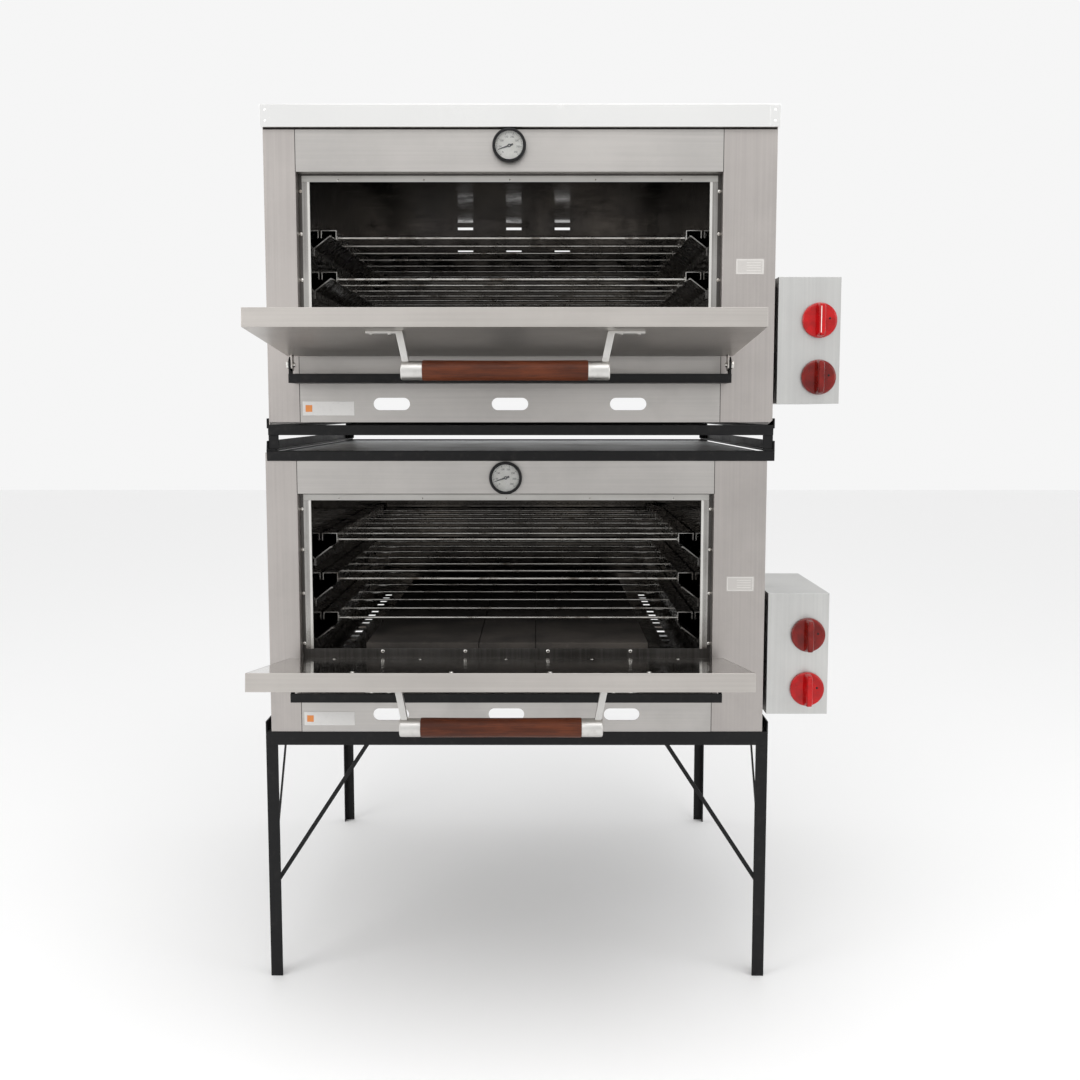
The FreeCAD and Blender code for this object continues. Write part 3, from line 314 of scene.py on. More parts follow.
def steel_finish(name, light, dark, along, grain=0.5, rough=0.34, haze=0.5):
    """Rolled sheet: long fine scratches along one axis over slow clouds of wiped grease."""
    material, place, shader = new_finish(name, Metallic=1.0)
    stretch = [1.0, 1.0, 1.0]
    stretch["XYZ".index(along)] = 0.012
    scratches = place.stretched(stretch).noise(1500, 2)
    strands = place.stretched(stretch).noise(260, 3)
    clouds = place.noise(3.2, 5, 0.6)
    smears = place.noise(14, 6, 0.66).between(0.46, 0.72)
    worn = (clouds * 0.7 + strands * 0.3).between(0.32, 0.68).tint(dark, light)
    mottled = (smears * (0.2 * haze)).tint(worn, tuple(value * 0.72 for value in dark))
    feed(shader, Base_Color=mottled,
         Roughness=rough + (strands - 0.5) * 0.1 + smears * 0.12 * haze,
         Normal=place.bump(scratches * grain + strands * 0.3, 0.16))
    return material


post_steel = steel_finish("post steel", (0.475, 0.445, 0.425), (0.395, 0.37, 0.355), "Z", rough=0.4)
panel_steel = steel_finish("panel steel", (0.50, 0.48, 0.46), (0.42, 0.405, 0.39), "X", rough=0.38)
# painted highlight: a brighter copy of the jamb strip steel, for the light caught along each fold
edge_highlight_steel = steel_finish("edge highlight steel", (0.78, 0.77, 0.74), (0.66, 0.65, 0.62), "Z",
                            rough=0.28, haze=0.3)
# painted shade: the jamb channel's steel is near-black to stand for the shade in the recess
channel_shade_steel = steel_finish("channel steel painted shade", (0.13, 0.125, 0.12), (0.06, 0.056, 0.052), "Z", rough=0.36)
strip_steel = steel_finish("strip steel", (0.46, 0.45, 0.43), (0.22, 0.21, 0.2), "Z",
                           rough=0.16, haze=1.0)
head_steel = steel_finish("head steel", (0.5, 0.49, 0.47), (0.4, 0.39, 0.37), "X", rough=0.3)


def galvanised_finish():
    """Zinc-coated sheet: patches of crystal spangle, each of its own grey."""
    material, place, shader = new_finish("galvanised sheet", Metallic=1.0)
    crystals = place.make("ShaderNodeTexVoronoi", {"feature": "F1"}, {"Vector": place, "Scale": 110.0}, 1)
    grey = crystals.make("ShaderNodeRGBToBW", {}, {"Color": crystals})
    stains = place.noise(5, 5).between(0.45, 0.8)
    colour = grey.tint((0.42, 0.43, 0.44), (0.58, 0.59, 0.6))
    feed(shader, Base_Color=(stains * 0.4).tint(colour, (0.3, 0.28, 0.26)),
         Roughness=0.36 + grey * 0.16 + stains * 0.12, Normal=place.bump(grey, 0.08))
    return material


galvanised = galvanised_finish()
for deck in DECKS:
    eased(f"{deck}_side_panels", post_steel, 0.6)
    eased(f"{deck}_header_panel", panel_steel, 0.5)
    eased(f"{deck}_front_panel", panel_steel, 0.4)
    # the jamb frame takes the near-black channel steel, its colour painted shade for the recess
    eased(f"{deck}_jamb_frame", channel_shade_steel, 0.3)
eased("top_panels", galvanised, 0.3)
eased("back_panels", galvanised, 0.0)


def block(shape, low, high):
    """A closed block in a bmesh, from its low corner to its high corner."""
    made = bmesh.ops.create_cube(shape, size=1)
    middle = (Vector(low) + Vector(high)) / 2
    span = Vector(high) - Vector(low)
    for vertex in made["verts"]:
        vertex.co = Vector(vertex.co[i] * span[i] + middle[i] for i in range(3))
    return made["verts"]


# folded strips on the jamb, proud of the channel beside the posts, which is painted near-black as shade in
# the recess;
# the brighter band on each strip's inner edge is a painted highlight along the fold
STRIP, STRIP_PROUD, STRIP_EDGE, JAMB = 14 * MM, 1.2 * MM, 4.5 * MM, 20 * MM
HEAD_DROP, SILL_RISE, SHADOW = 15 * MM, 21.5 * MM, 4 * MM
for deck in DECKS:
    low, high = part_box(f"{deck}_jamb_frame")
    head = high.z - HEAD_DROP
    sill = low.z + SILL_RISE
    strips = bmesh.new()
    edges = bmesh.new()
    for x, inner in ((low.x + JAMB - STRIP, low.x + JAMB - STRIP_EDGE), (high.x - JAMB, high.x - JAMB)):
        block(strips, (x, low.y - STRIP_PROUD, sill), (x + STRIP, low.y, head))
        # each strip's inner band, in the brighter steel, is a painted highlight along the fold
        block(edges, (inner, low.y - STRIP_PROUD * 1.5, sill), (inner + STRIP_EDGE, low.y, head))
    head_strip = bmesh.new()
    block(head_strip, (low.x + JAMB - STRIP, low.y - STRIP_PROUD, head),
          (high.x - JAMB + STRIP, low.y, high.z - SHADOW))
    for label, shape, finish in (("strips", strips, strip_steel), ("edges", edges, edge_highlight_steel),
                                 ("head", head_strip, head_steel)):
        name = f"{deck}_jamb_{label}"
        soften(add_piece(name, as_mesh(shape, name), finish, "casing", "jamb_frame"), 0.3)


def shadow_finish(name):
    """Dirt and shadow packed in a recess or a seam."""
    material, place, shader = new_finish(name, Specular_IOR_Level=0.1)
    feed(shader, Base_Color=place.noise(900, 2).tint((0.006, 0.0055, 0.005), (0.03, 0.027, 0.024)),
         Roughness=0.7 + place.noise(200, 3) * 0.2)
    return material


# dark strips in the joints between the posts, the header and the front panel, and under the lid's lip:
# painted shade where the sheets meet and under the overhang
seam_shade = shadow_finish("joint seam shade")
SEAM, SEAM_PROUD, LID_SEAM = 1.1 * MM, 0.12 * MM, 2.2 * MM
seams = bmesh.new()
for deck in DECKS:
    for part_name in ("header_panel", "front_panel"):
        low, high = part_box(f"{deck}_{part_name}")
        for x in (low.x, high.x):
            block(seams, (x - SEAM / 2, low.y - SEAM_PROUD, low.z), (x + SEAM / 2, low.y, high.z))
low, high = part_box("upper_side_panels")
block(seams, (low.x + MM, low.y - SEAM_PROUD, high.z - LID_SEAM), (high.x - MM, low.y, high.z))
add_piece("joint_seams", as_mesh(seams, "joint seams"), seam_shade, "casing", "front_panel")

# ---------------------------------------------------------------- lid
# A shallow pan of mirror-bright sheet over the upper oven: its corners are folded, lapped and spot-riveted,
# and its big flat top has the slow waves of thin polished sheet.


def polished_finish():
    material, place, shader = new_finish("polished sheet", Metallic=1.0)
    waves = place.noise(4.5, 3)
    grease = place.noise(11, 6, 0.62).between(0.56, 0.8)
    hairs = place.stretched((0.015, 1.0, 1.0)).noise(1300, 2)
    feed(shader, Base_Color=(grease * 0.3).tint((0.86, 0.86, 0.85), (0.6, 0.58, 0.55)),
         Roughness=0.17 + waves * 0.08 + grease * 0.16, Normal=place.bump(waves * 3 + hairs * 0.2, 0.18))
    return material


polished = polished_finish()
eased("lid", polished, 0.9, 3)
low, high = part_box("lid")
LAP, LAP_SHEET, LAP_FOOT, LAP_HEAD = 18 * MM, 0.6 * MM, 1 * MM, 2 * MM
laps = bmesh.new()
for x, side in ((low.x, 1), (high.x, -1)):
    near, far = sorted((x, x + side * LAP))
    block(laps, (near, low.y - LAP_SHEET, low.z + LAP_FOOT), (far, low.y, high.z - LAP_HEAD))
    block(laps, (near, high.y, low.z + LAP_FOOT), (far, high.y + LAP_SHEET, high.z - LAP_HEAD))
soften(add_piece("lid_laps", as_mesh(laps, "lid laps"), polished, "casing", "lid"), 0.25)


def turn(outline, centre, axis, steps=48):
    """A turned shape: its outline is pairs of radius and distance along the axis."""
    shape = bmesh.new()
    rings = []
    basis = Vector(axis).to_track_quat("Z", "Y").to_matrix()
    for radius, along in outline:
        ring = []
        for step in range(steps if radius > 1e-7 else 1):
            angle = 2 * math.pi * step / steps
            spot = Vector((radius * math.cos(angle), radius * math.sin(angle), along))
            ring.append(shape.verts.new(basis @ spot + Vector(centre)))
        rings.append(ring)
    for near, far in zip(rings, rings[1:]):
        for step in range(steps):
            ends = [near[step % len(near)], near[(step + 1) % len(near)],
                    far[(step + 1) % len(far)], far[step % len(far)]]
            corners = list(dict.fromkeys(ends))
            if len(corners) > 2:
                shape.faces.new(corners)
    bmesh.ops.recalc_face_normals(shape, faces=shape.faces)
    return shape


def merged(shapes):
    """Several bmeshes in one."""
    whole = bmesh.new()
    for shape in shapes:
        scratch = bpy.data.meshes.new("scratch")
        shape.to_mesh(scratch)
        shape.free()
        whole.from_mesh(scratch)
        bpy.data.meshes.remove(scratch)
    return whole


RIVET = [(0, 1.0 * MM), (1.2 * MM, 0.85 * MM), (2.0 * MM, 0.3 * MM), (2.2 * MM, -0.4 * MM)]
rivets = []
for x in (low.x + 9 * MM, high.x - 9 * MM):
    for z in (low.z + 10 * MM, high.z - 10 * MM):
        rivets.append(turn(RIVET, (x, low.y - LAP_SHEET, z), (0, -1, 0), 16))
add_piece("lid_rivets", as_mesh(merged(rivets), "lid rivets"), polished, "casing", "lid")

# ---------------------------------------------------------------- chamber
# A welded box of stainless sheet, blued and browned by heat until it is nearly black but still glossy,
# with slotted floor and back, three dark fired tiles on the floor and mineral wool behind the walls.


def scorched_finish():
    material, place, shader = new_finish("scorched steel", Metallic=1.0)
    clouds = place.noise(5, 5, 0.6)
    soot = place.noise(17, 7, 0.68).between(0.42, 0.7)
    hairs = place.stretched((1.0, 0.02, 1.0)).noise(700, 2)
    blued = clouds.between(0.35, 0.66).tint((0.07, 0.065, 0.061), (0.125, 0.112, 0.098))
    feed(shader, Base_Color=(soot * 0.5).tint(blued, (0.02, 0.018, 0.016)),
         Roughness=0.06 + clouds * 0.06 + soot * 0.16, Normal=place.bump(clouds * 2 + hairs * 0.2, 0.12))
    return material


scorched = scorched_finish()
for deck in DECKS:
    eased(f"{deck}_chamber_walls", scorched, 0.0)


def tile_finish():
    material, place, shader = new_finish("fired tile")
    grit = place.noise(700, 4, 0.7)
    patches = place.noise(8, 6, 0.6)
    flour = place.noise(38, 7, 0.7).between(0.58, 0.8)
    clay = patches.between(0.3, 0.7).tint((0.03, 0.026, 0.023), (0.075, 0.064, 0.055))
    feed(shader, Base_Color=(flour * 0.4).tint(clay, (0.17, 0.15, 0.13)),
         Roughness=0.72 + grit * 0.2, Normal=place.bump(grit + patches, 0.5))
    return material


def wool_finish():
    material, place, shader = new_finish("mineral wool", Roughness=0.95)
    fibres = place.stretched((1.0, 0.2, 1.0)).noise(420, 6, 0.75)
    feed(shader, Base_Color=fibres.tint((0.42, 0.34, 0.17), (0.72, 0.62, 0.38)),
         Normal=place.bump(fibres * 3, 0.7))
    return material


wool = wool_finish()
eased("refractory_tiles", tile_finish(), 1.6)
eased("insulation", wool, 2.5)

# ---------------------------------------------------------------- racks and guides
# Each rack is two folded rails with seven round rods resistance-welded between them; it slides on sheet
# brackets that lean out from the chamber walls. All of it is bright-plated wire gone dull and brown.


def plated_finish(name, light, dark, rough):
    material, place, shader = new_finish(name, Metallic=1.0)
    bake = place.noise(26, 6, 0.65).between(0.44, 0.74)
    pits = place.noise(650, 3)
    feed(shader, Base_Color=bake.tint(light, dark), Roughness=rough + bake * 0.2,
         Normal=place.bump(pits * 0.6 + bake, 0.07))
    return material


rack_plating = plated_finish("rack plating", (0.5, 0.49, 0.47), (0.16, 0.14, 0.12), 0.18)
guide_plating = plated_finish("guide plating", (0.24, 0.235, 0.225), (0.07, 0.063, 0.056), 0.2)
eased("rack_guides", guide_plating, 0.4)
ROD, RAIL_RISE, ROD_WELD = 3 * MM, 13 * MM, 1.5 * MM
RODS, ROD_INSET, ROD_PITCH, RAIL_INSET = 7, 12 * MM, 114 * MM, 29 * MM
for deck in DECKS:
    for number in (1, 2, 3):
        node = f"{deck}_rack_{number}"
        eased(node, rack_plating, 0.4)
        low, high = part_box(node)
        rod_level = high.z - RAIL_RISE
        nuggets = bmesh.new()
        for step in range(RODS):
            y = low.y + ROD_INSET + ROD_PITCH * step
            for x in (low.x + RAIL_INSET, high.x - RAIL_INSET):
                under, over = Vector((x, y, rod_level - ROD)), Vector((x, y, rod_level + ROD))
                bead(nuggets, under, over, ROD_WELD, dice)
        add_piece(f"{node}_welds", as_mesh(nuggets, "rack welds"), rack_plating, BODY_OF[node],
                  SLOT_OF[node])

# ---------------------------------------------------------------- doors and hinges
# A folded pan of satin sheet packed with wool and closed by a darker inner sheet under pan-head screws;
# it drops forward on two bolts through the ears of a black angle ledge.
inner_steel = steel_finish("inner steel", (0.56, 0.545, 0.52), (0.42, 0.405, 0.385), "X",
                           grain=0.15, rough=0.08, haze=0.6)
door_steel = steel_finish("door steel", (0.56, 0.53, 0.50), (0.47, 0.445, 0.42), "X", rough=0.36)
screw_steel = plated_finish("screw steel", (0.66, 0.65, 0.62), (0.3, 0.27, 0.24), 0.24)

joints = {joint["name"]: joint for joint in record["behaviour"]["joints"]}


def door_frame(deck):
    """Where a door's own coordinates are: origin on the hinge, -Y towards the lip, +Z out of its inside."""
    hinge = joints[f"{deck}_door_hinge"]
    tilt = math.radians(90 - hinge["range_deg"][1])
    low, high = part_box(f"{deck}_side_panels")
    pivot = Vector(((low.x + high.x) / 2, hinge["pos_m"][1], hinge["pos_m"][2]))
    return Matrix.Translation(pivot) @ Matrix.Rotation(-tilt, 4, "X")


HEAD_RADIUS, HEAD_RISE = 3.5 * MM, 1.5 * MM
SLOT_REACH, SLOT_HALF = 1.9 * MM, 0.35 * MM


def pan_head(centre, axis, turned):
    """A pan-head screw: a dome, and a cross of thin blocks on its crown that carry the painted shade of the
    cross recess.
    """
    outline = [(HEAD_RADIUS * math.cos(math.radians(angle)), HEAD_RISE * math.sin(math.radians(angle)))
               for angle in (0, 20, 40, 60, 78)] + [(0, HEAD_RISE * 0.99)]
    dome = turn(outline, (0, 0, 0), (0, 0, 1), 24)
    slots = bmesh.new()
    for angle in (0, 90):
        arm = block(slots, (-SLOT_REACH, -SLOT_HALF, HEAD_RISE * 0.93),
                    (SLOT_REACH, SLOT_HALF, HEAD_RISE * 1.04))
        across = Matrix.Rotation(math.radians(angle), 3, "Z")
        bmesh.ops.rotate(slots, verts=arm, cent=(0, 0, 0), matrix=across)
    for shape in (dome, slots):
        spin = Matrix.Rotation(turned, 4, "Z")
        aim = Vector(axis).to_track_quat("Z", "Y").to_matrix().to_4x4()
        bmesh.ops.transform(shape, matrix=Matrix.Translation(centre) @ aim @ spin, verts=shape.verts)
    return dome, slots


# painted shade: the cross of each screw head is a dark block laid on the dome, standing for the shade in
# the recess
recess = shadow_finish("painted screw shade")


def screw_set(name, spots, axis, body, slot, node):
    heads = [pan_head(spot, axis, dice.uniform(0, math.pi)) for spot in spots]
    add_piece(name, as_mesh(merged([head for head, _ in heads]), name), screw_steel, body, slot, node)
    add_piece(f"{name}_recesses", as_mesh(merged([slots for _, slots in heads]), name), recess, body, slot)


def centres(node):
    """The middle of each separate closed shape in a CAD node."""
    shape = bmesh.new()
    shape.from_mesh(frame["nodes"][node].data)
    bmesh.ops.remove_doubles(shape, verts=shape.verts, dist=1e-6)
    waiting = set(shape.verts)
    found = []
    while waiting:
        seed = min(waiting, key=lambda vertex: vertex.index)
        island = {seed}
        edge_of = [seed]
        while edge_of:
            vertex = edge_of.pop()
            for edge in vertex.link_edges:
                other = edge.other_vert(vertex)
                if other not in island:
                    island.add(other)
                    edge_of.append(other)
        waiting -= island
        spots = [vertex.co for vertex in island]
        found.append(Vector((min(s[i] for s in spots) + max(s[i] for s in spots)) / 2 for i in range(3)))
    shape.free()
    return found


for deck in DECKS:
    body = f"{deck}_door"
    eased(f"{deck}_door_skin", door_steel, 0.7, 3)
    eased(f"{deck}_door_inner_panel", inner_steel, 0.4)
    eased(f"{deck}_door_core", wool, 0.5)
    eased(f"{deck}_hinge_ledge", enamel, 0.6)
    out_of_door = (door_frame(deck).to_3x3() @ Vector((0, 0, 1))).normalized()
    spots = [spot - out_of_door * HEAD_RISE / 2 for spot in centres(f"{deck}_door_screws")]
    screw_set(f"{deck}_door_screw_heads", spots, out_of_door, body, "door_screws", f"{deck}_door_screws")

jamb_spots = [spot + Vector((0, HEAD_RISE / 2, 0)) for spot in centres("jamb_screws")]
screw_set("jamb_screw_heads", jamb_spots, (0, -1, 0), "casing", "jamb_screws", "jamb_screws")
CHANNEL_INSET, CHANNEL_SHARES = 3.4 * MM, (0.1, 0.4, 0.66, 0.9)
channel_spots = []
for deck in DECKS:
    low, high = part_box(f"{deck}_jamb_frame")
    for x in (low.x + CHANNEL_INSET, high.x - CHANNEL_INSET):
        for share in CHANNEL_SHARES:
            channel_spots.append(Vector((x, low.y, low.z + share * (high.z - low.z))))
channel_heads = [pan_head(spot, (0, -1, 0), dice.uniform(0, math.pi)) for spot in channel_spots]
for head, slots in channel_heads:
    slots.free()
add_piece("channel_screw_heads", as_mesh(merged([head for head, _ in channel_heads]), "channel screws"),
          screw_steel, "casing", "jamb_screws")

HEX_ACROSS, HEX_RISE, PIN_HALF = 13 * MM, 4 * MM, 7 * MM
bolts = []
for spot in centres("hinge_pins"):
    outer = 1 if spot.x > BODY_MIDDLE else -1
    seat = spot + Vector((outer * PIN_HALF * 0.9, 0, 0))
    outline = [(0, HEX_RISE / 2), (HEX_ACROSS / 2 * 0.9, HEX_RISE / 2), (HEX_ACROSS / 2, HEX_RISE * 0.35),
               (HEX_ACROSS / 2, -HEX_RISE / 2), (0, -HEX_RISE / 2)]
    bolts.append(turn(outline, seat, (outer, 0, 0), 6))
eased("hinge_pins", screw_steel, 0.3)
add_piece("hinge_bolt_heads", as_mesh(merged(bolts), "hinge bolts"), screw_steel, "casing", "hinge_pins")

# ---------------------------------------------------------------- handles
# A turned hardwood grip, stained red-brown and varnished, between two brushed aluminium ferrules that
# hang from the door's outer skin on two leaning aluminium arms, each held by two screws through its foot.


def wood_finish():
    material, place, shader = new_finish("varnished wood", Coat_Weight=0.06, Coat_Roughness=0.3,
                                         Specular_IOR_Level=0.22)
    bend = place.stretched((0.22, 1.0, 1.0)).noise(38, 4, 0.6)
    along = place.stretched((0.05, 1.0, 1.0)).noise(420, 4, 0.65)
    pores = place.stretched((0.03, 1.0, 1.0)).noise(1700, 2).between(0.56, 0.66)
    figure = (bend * 0.6 + along * 0.4).between(0.36, 0.62)
    grain = figure.tint((0.05, 0.0105, 0.003), (0.115, 0.026, 0.007))
    feed(shader, Base_Color=(pores * 0.5).tint(grain, (0.035, 0.01, 0.006)), Roughness=0.4 + along * 0.16,
         Normal=place.bump(along + pores * -0.6, 0.22))
    return material


def aluminium_finish():
    material, place, shader = new_finish("brushed aluminium", Metallic=1.0)
    hoops = place.stretched((1.0, 0.03, 0.03)).noise(1600, 3)
    knocks = place.noise(60, 5, 0.6).between(0.5, 0.8)
    feed(shader, Base_Color=(knocks * 0.4).tint((0.62, 0.61, 0.59), (0.36, 0.345, 0.325)),
         Roughness=0.3 + hoops * 0.16, Normal=place.bump(hoops + knocks * 0.5, 0.24))
    return material


wood = wood_finish()
aluminium = aluminium_finish()
FERRULE_HALF, FERRULE_RADIUS = 16.5 * MM, 14.5 * MM
FOOT_EDGE, FOOT_BEND, FOOT_LEVEL = 9 * MM, 36 * MM, 12 * MM
for deck in DECKS:
    body = f"{deck}_door"
    low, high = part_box(f"{deck}_handle_grip")
    middle = (low + high) / 2
    half = (high.x - low.x) / 2
    full = (high.z - low.z) / 2
    outline = [(0, -half), (full * 0.96, -half), (full, -half + 2 * MM)]
    outline += [(full * (1 - 0.035 * math.cos(math.pi * share / 2)), half * share)
                for share in (-0.8, -0.5, -0.2, 0, 0.2, 0.5, 0.8)]
    outline += [(full, half - 2 * MM), (full * 0.96, half), (0, half)]
    add_piece(f"{deck}_wood_grip", as_mesh(turn(outline, middle, (1, 0, 0), 64), "grip"), wood, body,
              "handle_grip", f"{deck}_handle_grip")
    ferrules = []
    for centre in centres(f"{deck}_handle_caps"):
        long, wide = FERRULE_HALF, FERRULE_RADIUS
        outer = 1 if centre.x > middle.x else -1
        profile = [(0, long), (wide * 0.78, long), (wide * 0.93, long - 0.6 * MM), (wide, long - 2 * MM),
                   (wide, 0), (wide, -long + 1.2 * MM), (wide * 0.975, -long + 0.6 * MM),
                   (wide * 0.975, -long), (0, -long)]
        ferrules.append(turn(profile, centre, (outer, 0, 0), 56))
    add_piece(f"{deck}_ferrules", as_mesh(merged(ferrules), "ferrules"), aluminium, body, "handle_caps",
              f"{deck}_handle_caps")
    eased(f"{deck}_handle_arms", aluminium, 0.7, 3)
    local = door_frame(deck)
    down = (local.to_3x3() @ Vector((0, 0, -1))).normalized()
    feet = []
    low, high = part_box(f"{deck}_handle_arms")
    inverse = local.inverted()
    reach = (inverse @ ((low + high) / 2)).y
    for x in (low.x + FOOT_EDGE, low.x + FOOT_BEND, high.x - FOOT_BEND, high.x - FOOT_EDGE):
        spot = local @ Vector((x - local.translation.x, reach, FOOT_LEVEL))
        head, slots = pan_head(spot, down, 0.4)
        slots.free()
        feet.append(head)
    add_piece(f"{deck}_handle_screws", as_mesh(merged(feet), "handle screws"), screw_steel, body,
              "handle_arms")

# ---------------------------------------------------------------- thermometers
# A bimetal dial: black crimped bezel, flat glass, white printed face with a scale and plain numbers, and
# a black needle with a broad tail on its arbor.


def bezel_finish():
    material, place, shader = new_finish("black bezel", IOR=1.45, Specular_IOR_Level=0.3)
    feed(shader, Base_Color=place.noise(80, 4).tint((0.003, 0.003, 0.0035), (0.010, 0.010, 0.011)),
         Roughness=0.24 + place.noise(300, 3) * 0.14, Normal=place.bump(place.noise(500, 2), 0.08))
    return material


def face_finish():
    material, place, shader = new_finish("dial face")
    aged = place.noise(90, 5).between(0.35, 0.75)
    feed(shader, Base_Color=aged.tint((0.74, 0.73, 0.69), (0.83, 0.82, 0.79)),
         Roughness=0.5 + place.noise(700, 2) * 0.1)
    return material


def ink_finish():
    material, place, shader = new_finish("printed ink")
    feed(shader, Base_Color=place.noise(900, 3).tint((0.015, 0.015, 0.017), (0.05, 0.05, 0.055)),
         Roughness=0.55 + place.noise(400, 2) * 0.1)
    return material


def glass_finish():
    material, place, shader = new_finish("dial glass", IOR=1.46, Transmission_Weight=1.0)
    feed(shader, Base_Color=place.noise(30, 3).tint((0.97, 0.98, 0.98), (1, 1, 1)),
         Roughness=0.02 + place.noise(60, 4).between(0.5, 0.8) * 0.05)
    return material


bezel, face, ink, glass = bezel_finish(), face_finish(), ink_finish(), glass_finish()
eased("thermometer_dials", face, 0.2)
eased("thermometer_glasses", glass, 0.15)
SCALE_START, SCALE_SWEEP, SCALE_STEPS = math.radians(225), math.radians(270), 35
PRINT_DEPTH, SCALE_RADIUS, NUMBER_RADIUS = 6.85 * MM, 23.6 * MM, 15.6 * MM
for deck, centre in zip(DECKS, sorted(centres("thermometer_cases"), key=lambda spot: spot.z)):
    low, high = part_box("thermometer_cases")
    front = low.y
    spot = Vector((centre.x, front, centre.z))
    rim, bore, lip, deep = 29.5 * MM, 26 * MM, 24.2 * MM, 14 * MM
    profile = [(bore, deep - 2 * MM), (bore, 0.9 * MM), (lip, 0.9 * MM), (lip, 0.5 * MM),
               (lip + 0.6 * MM, 0), (rim - 1.4 * MM, 0.2 * MM), (rim - 0.4 * MM, 1.0 * MM),
               (rim, 2.2 * MM), (rim, 5 * MM), (rim - 0.9 * MM, 5.6 * MM), (rim - 0.9 * MM, deep),
               (5 * MM, deep), (5 * MM, deep + 21 * MM), (0, deep + 21.5 * MM)]
    case = as_mesh(turn(profile, spot, (0, 1, 0), 72), "thermometer case")
    stands_for = ("thermometer_cases",) if deck == "lower" else ()
    add_piece(f"{deck}_thermometer_case", case, bezel, "casing", "thermometer_cases", *stands_for)
    printed = spot.y + PRINT_DEPTH
    marks = bmesh.new()
    for step in range(SCALE_STEPS + 1):
        angle = SCALE_START - SCALE_SWEEP * step / SCALE_STEPS
        long = (4.2 if step % 5 == 0 else 2.2) * MM
        thick = (0.55 if step % 5 == 0 else 0.3) * MM
        mark = block(marks, (SCALE_RADIUS - long, 0, -thick / 2), (SCALE_RADIUS, 0.12 * MM, thick / 2))
        bmesh.ops.rotate(marks, verts=mark, cent=(0, 0, 0), matrix=Matrix.Rotation(-angle, 3, "Y"))
        bmesh.ops.translate(marks, verts=mark, vec=(spot.x, printed, spot.z))
    add_piece(f"{deck}_dial_scale", as_mesh(marks, "dial scale"), ink, "casing", "thermometer_dials")
    for step in range(0, SCALE_STEPS + 1, 5):
        angle = SCALE_START - SCALE_SWEEP * step / SCALE_STEPS
        words = bpy.data.curves.new(f"{deck}_number_{step}", "FONT")
        words.body = str(step * 10)
        words.size = 4.4 * MM
        words.align_x = "CENTER"
        words.align_y = "CENTER"
        words.extrude = 0.05 * MM
        words.materials.append(ink)
        number = bpy.data.objects.new(f"{deck}_number_{step}", words)
        number.location = (spot.x + NUMBER_RADIUS * math.cos(angle), printed,
                           spot.z + NUMBER_RADIUS * math.sin(angle))
        number.rotation_euler = (math.pi / 2, 0, 0)
        studio.collection.objects.link(number)
        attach(number, "casing")
    eased(f"{deck}_thermometer_pointer", ink, 0.1)

# ---------------------------------------------------------------- control boxes and gas pipes
# A folded box of satin sheet on black stand-off blocks, two valves behind it, and a bright red moulded
# knob on each valve stem: a low disc with a tall tapered grip across it.
box_steel = steel_finish("box steel", (0.60, 0.60, 0.585), (0.52, 0.52, 0.51), "Z", rough=0.4)


def knob_finish(name, light, dark):
    material, place, shader = new_finish(name, IOR=1.45, Specular_IOR_Level=0.35, Coat_Weight=0.12,
                                         Coat_Roughness=0.12)
    worn = place.noise(45, 5, 0.6)
    grime = place.noise(120, 5, 0.7).between(0.55, 0.78)
    feed(shader, Base_Color=(grime * 0.35).tint(worn.between(0.35, 0.65).tint(dark, light),
                                                tuple(value * 0.4 for value in dark)),
         Roughness=0.16 + worn * 0.12 + grime * 0.18, Normal=place.bump(place.noise(260, 3), 0.06))
    return material


KNOBS = {
    "knob_bright": knob_finish("bright red plastic", (0.50, 0.002, 0.004), (0.36, 0.002, 0.003)),
    "knob_dark": knob_finish("deep red plastic", (0.2, 0.006, 0.003), (0.12, 0.004, 0.002)),
}


KNOB_BASE, GRIP_STEPS, GRIP_SQUARENESS = 8 * MM, 48, 0.34


def knob_shape(low, high):
    """Disc and grip: the grip's flanks lean in and its crown is rounded."""
    middle = (low + high) / 2
    wide = (high.x - low.x) / 2
    back, base, crown = high.y, high.y - KNOB_BASE, low.y
    disc = turn([(4.3 * MM, 0), (wide * 0.96, 0), (wide, 0.8 * MM), (wide, 4.6 * MM),
                 (wide * 0.975, 6.6 * MM), (wide * 0.92, 7.7 * MM), (wide * 0.8, 8 * MM), (0, 8.2 * MM)],
                (middle.x, back, middle.z), (0, -1, 0), 72)
    grip = bmesh.new()
    levels = ((base + 1 * MM, 8.6, 29.4), (base - 4 * MM, 7.2, 29.2), (crown + 6 * MM, 6.0, 28.4),
              (crown + 2 * MM, 5.4, 27.2), (crown, 4.0, 25.0))
    rings = []
    for depth, half_wide, half_tall in levels:
        ring = []
        for step in range(GRIP_STEPS):
            angle = 2 * math.pi * step / GRIP_STEPS
            across, up = math.cos(angle), math.sin(angle)
            x = math.copysign(abs(across) ** GRIP_SQUARENESS, across) * half_wide * MM
            z = math.copysign(abs(up) ** GRIP_SQUARENESS, up) * half_tall * MM
            limit = math.sqrt(max(0.0, (wide - 1 * MM) ** 2 - x * x))
            z = max(-limit, min(limit, z))
            ring.append(grip.verts.new((middle.x + x, depth, middle.z + z)))
        rings.append(ring)
    for near, far in zip(rings, rings[1:]):
        for step in range(GRIP_STEPS):
            after = (step + 1) % GRIP_STEPS
            grip.faces.new((near[step], near[after], far[after], far[step]))
    grip.faces.new(rings[-1])
    grip.faces.new(list(reversed(rings[0])))
    bmesh.ops.recalc_face_normals(grip, faces=grip.faces)
    return merged([disc, grip])


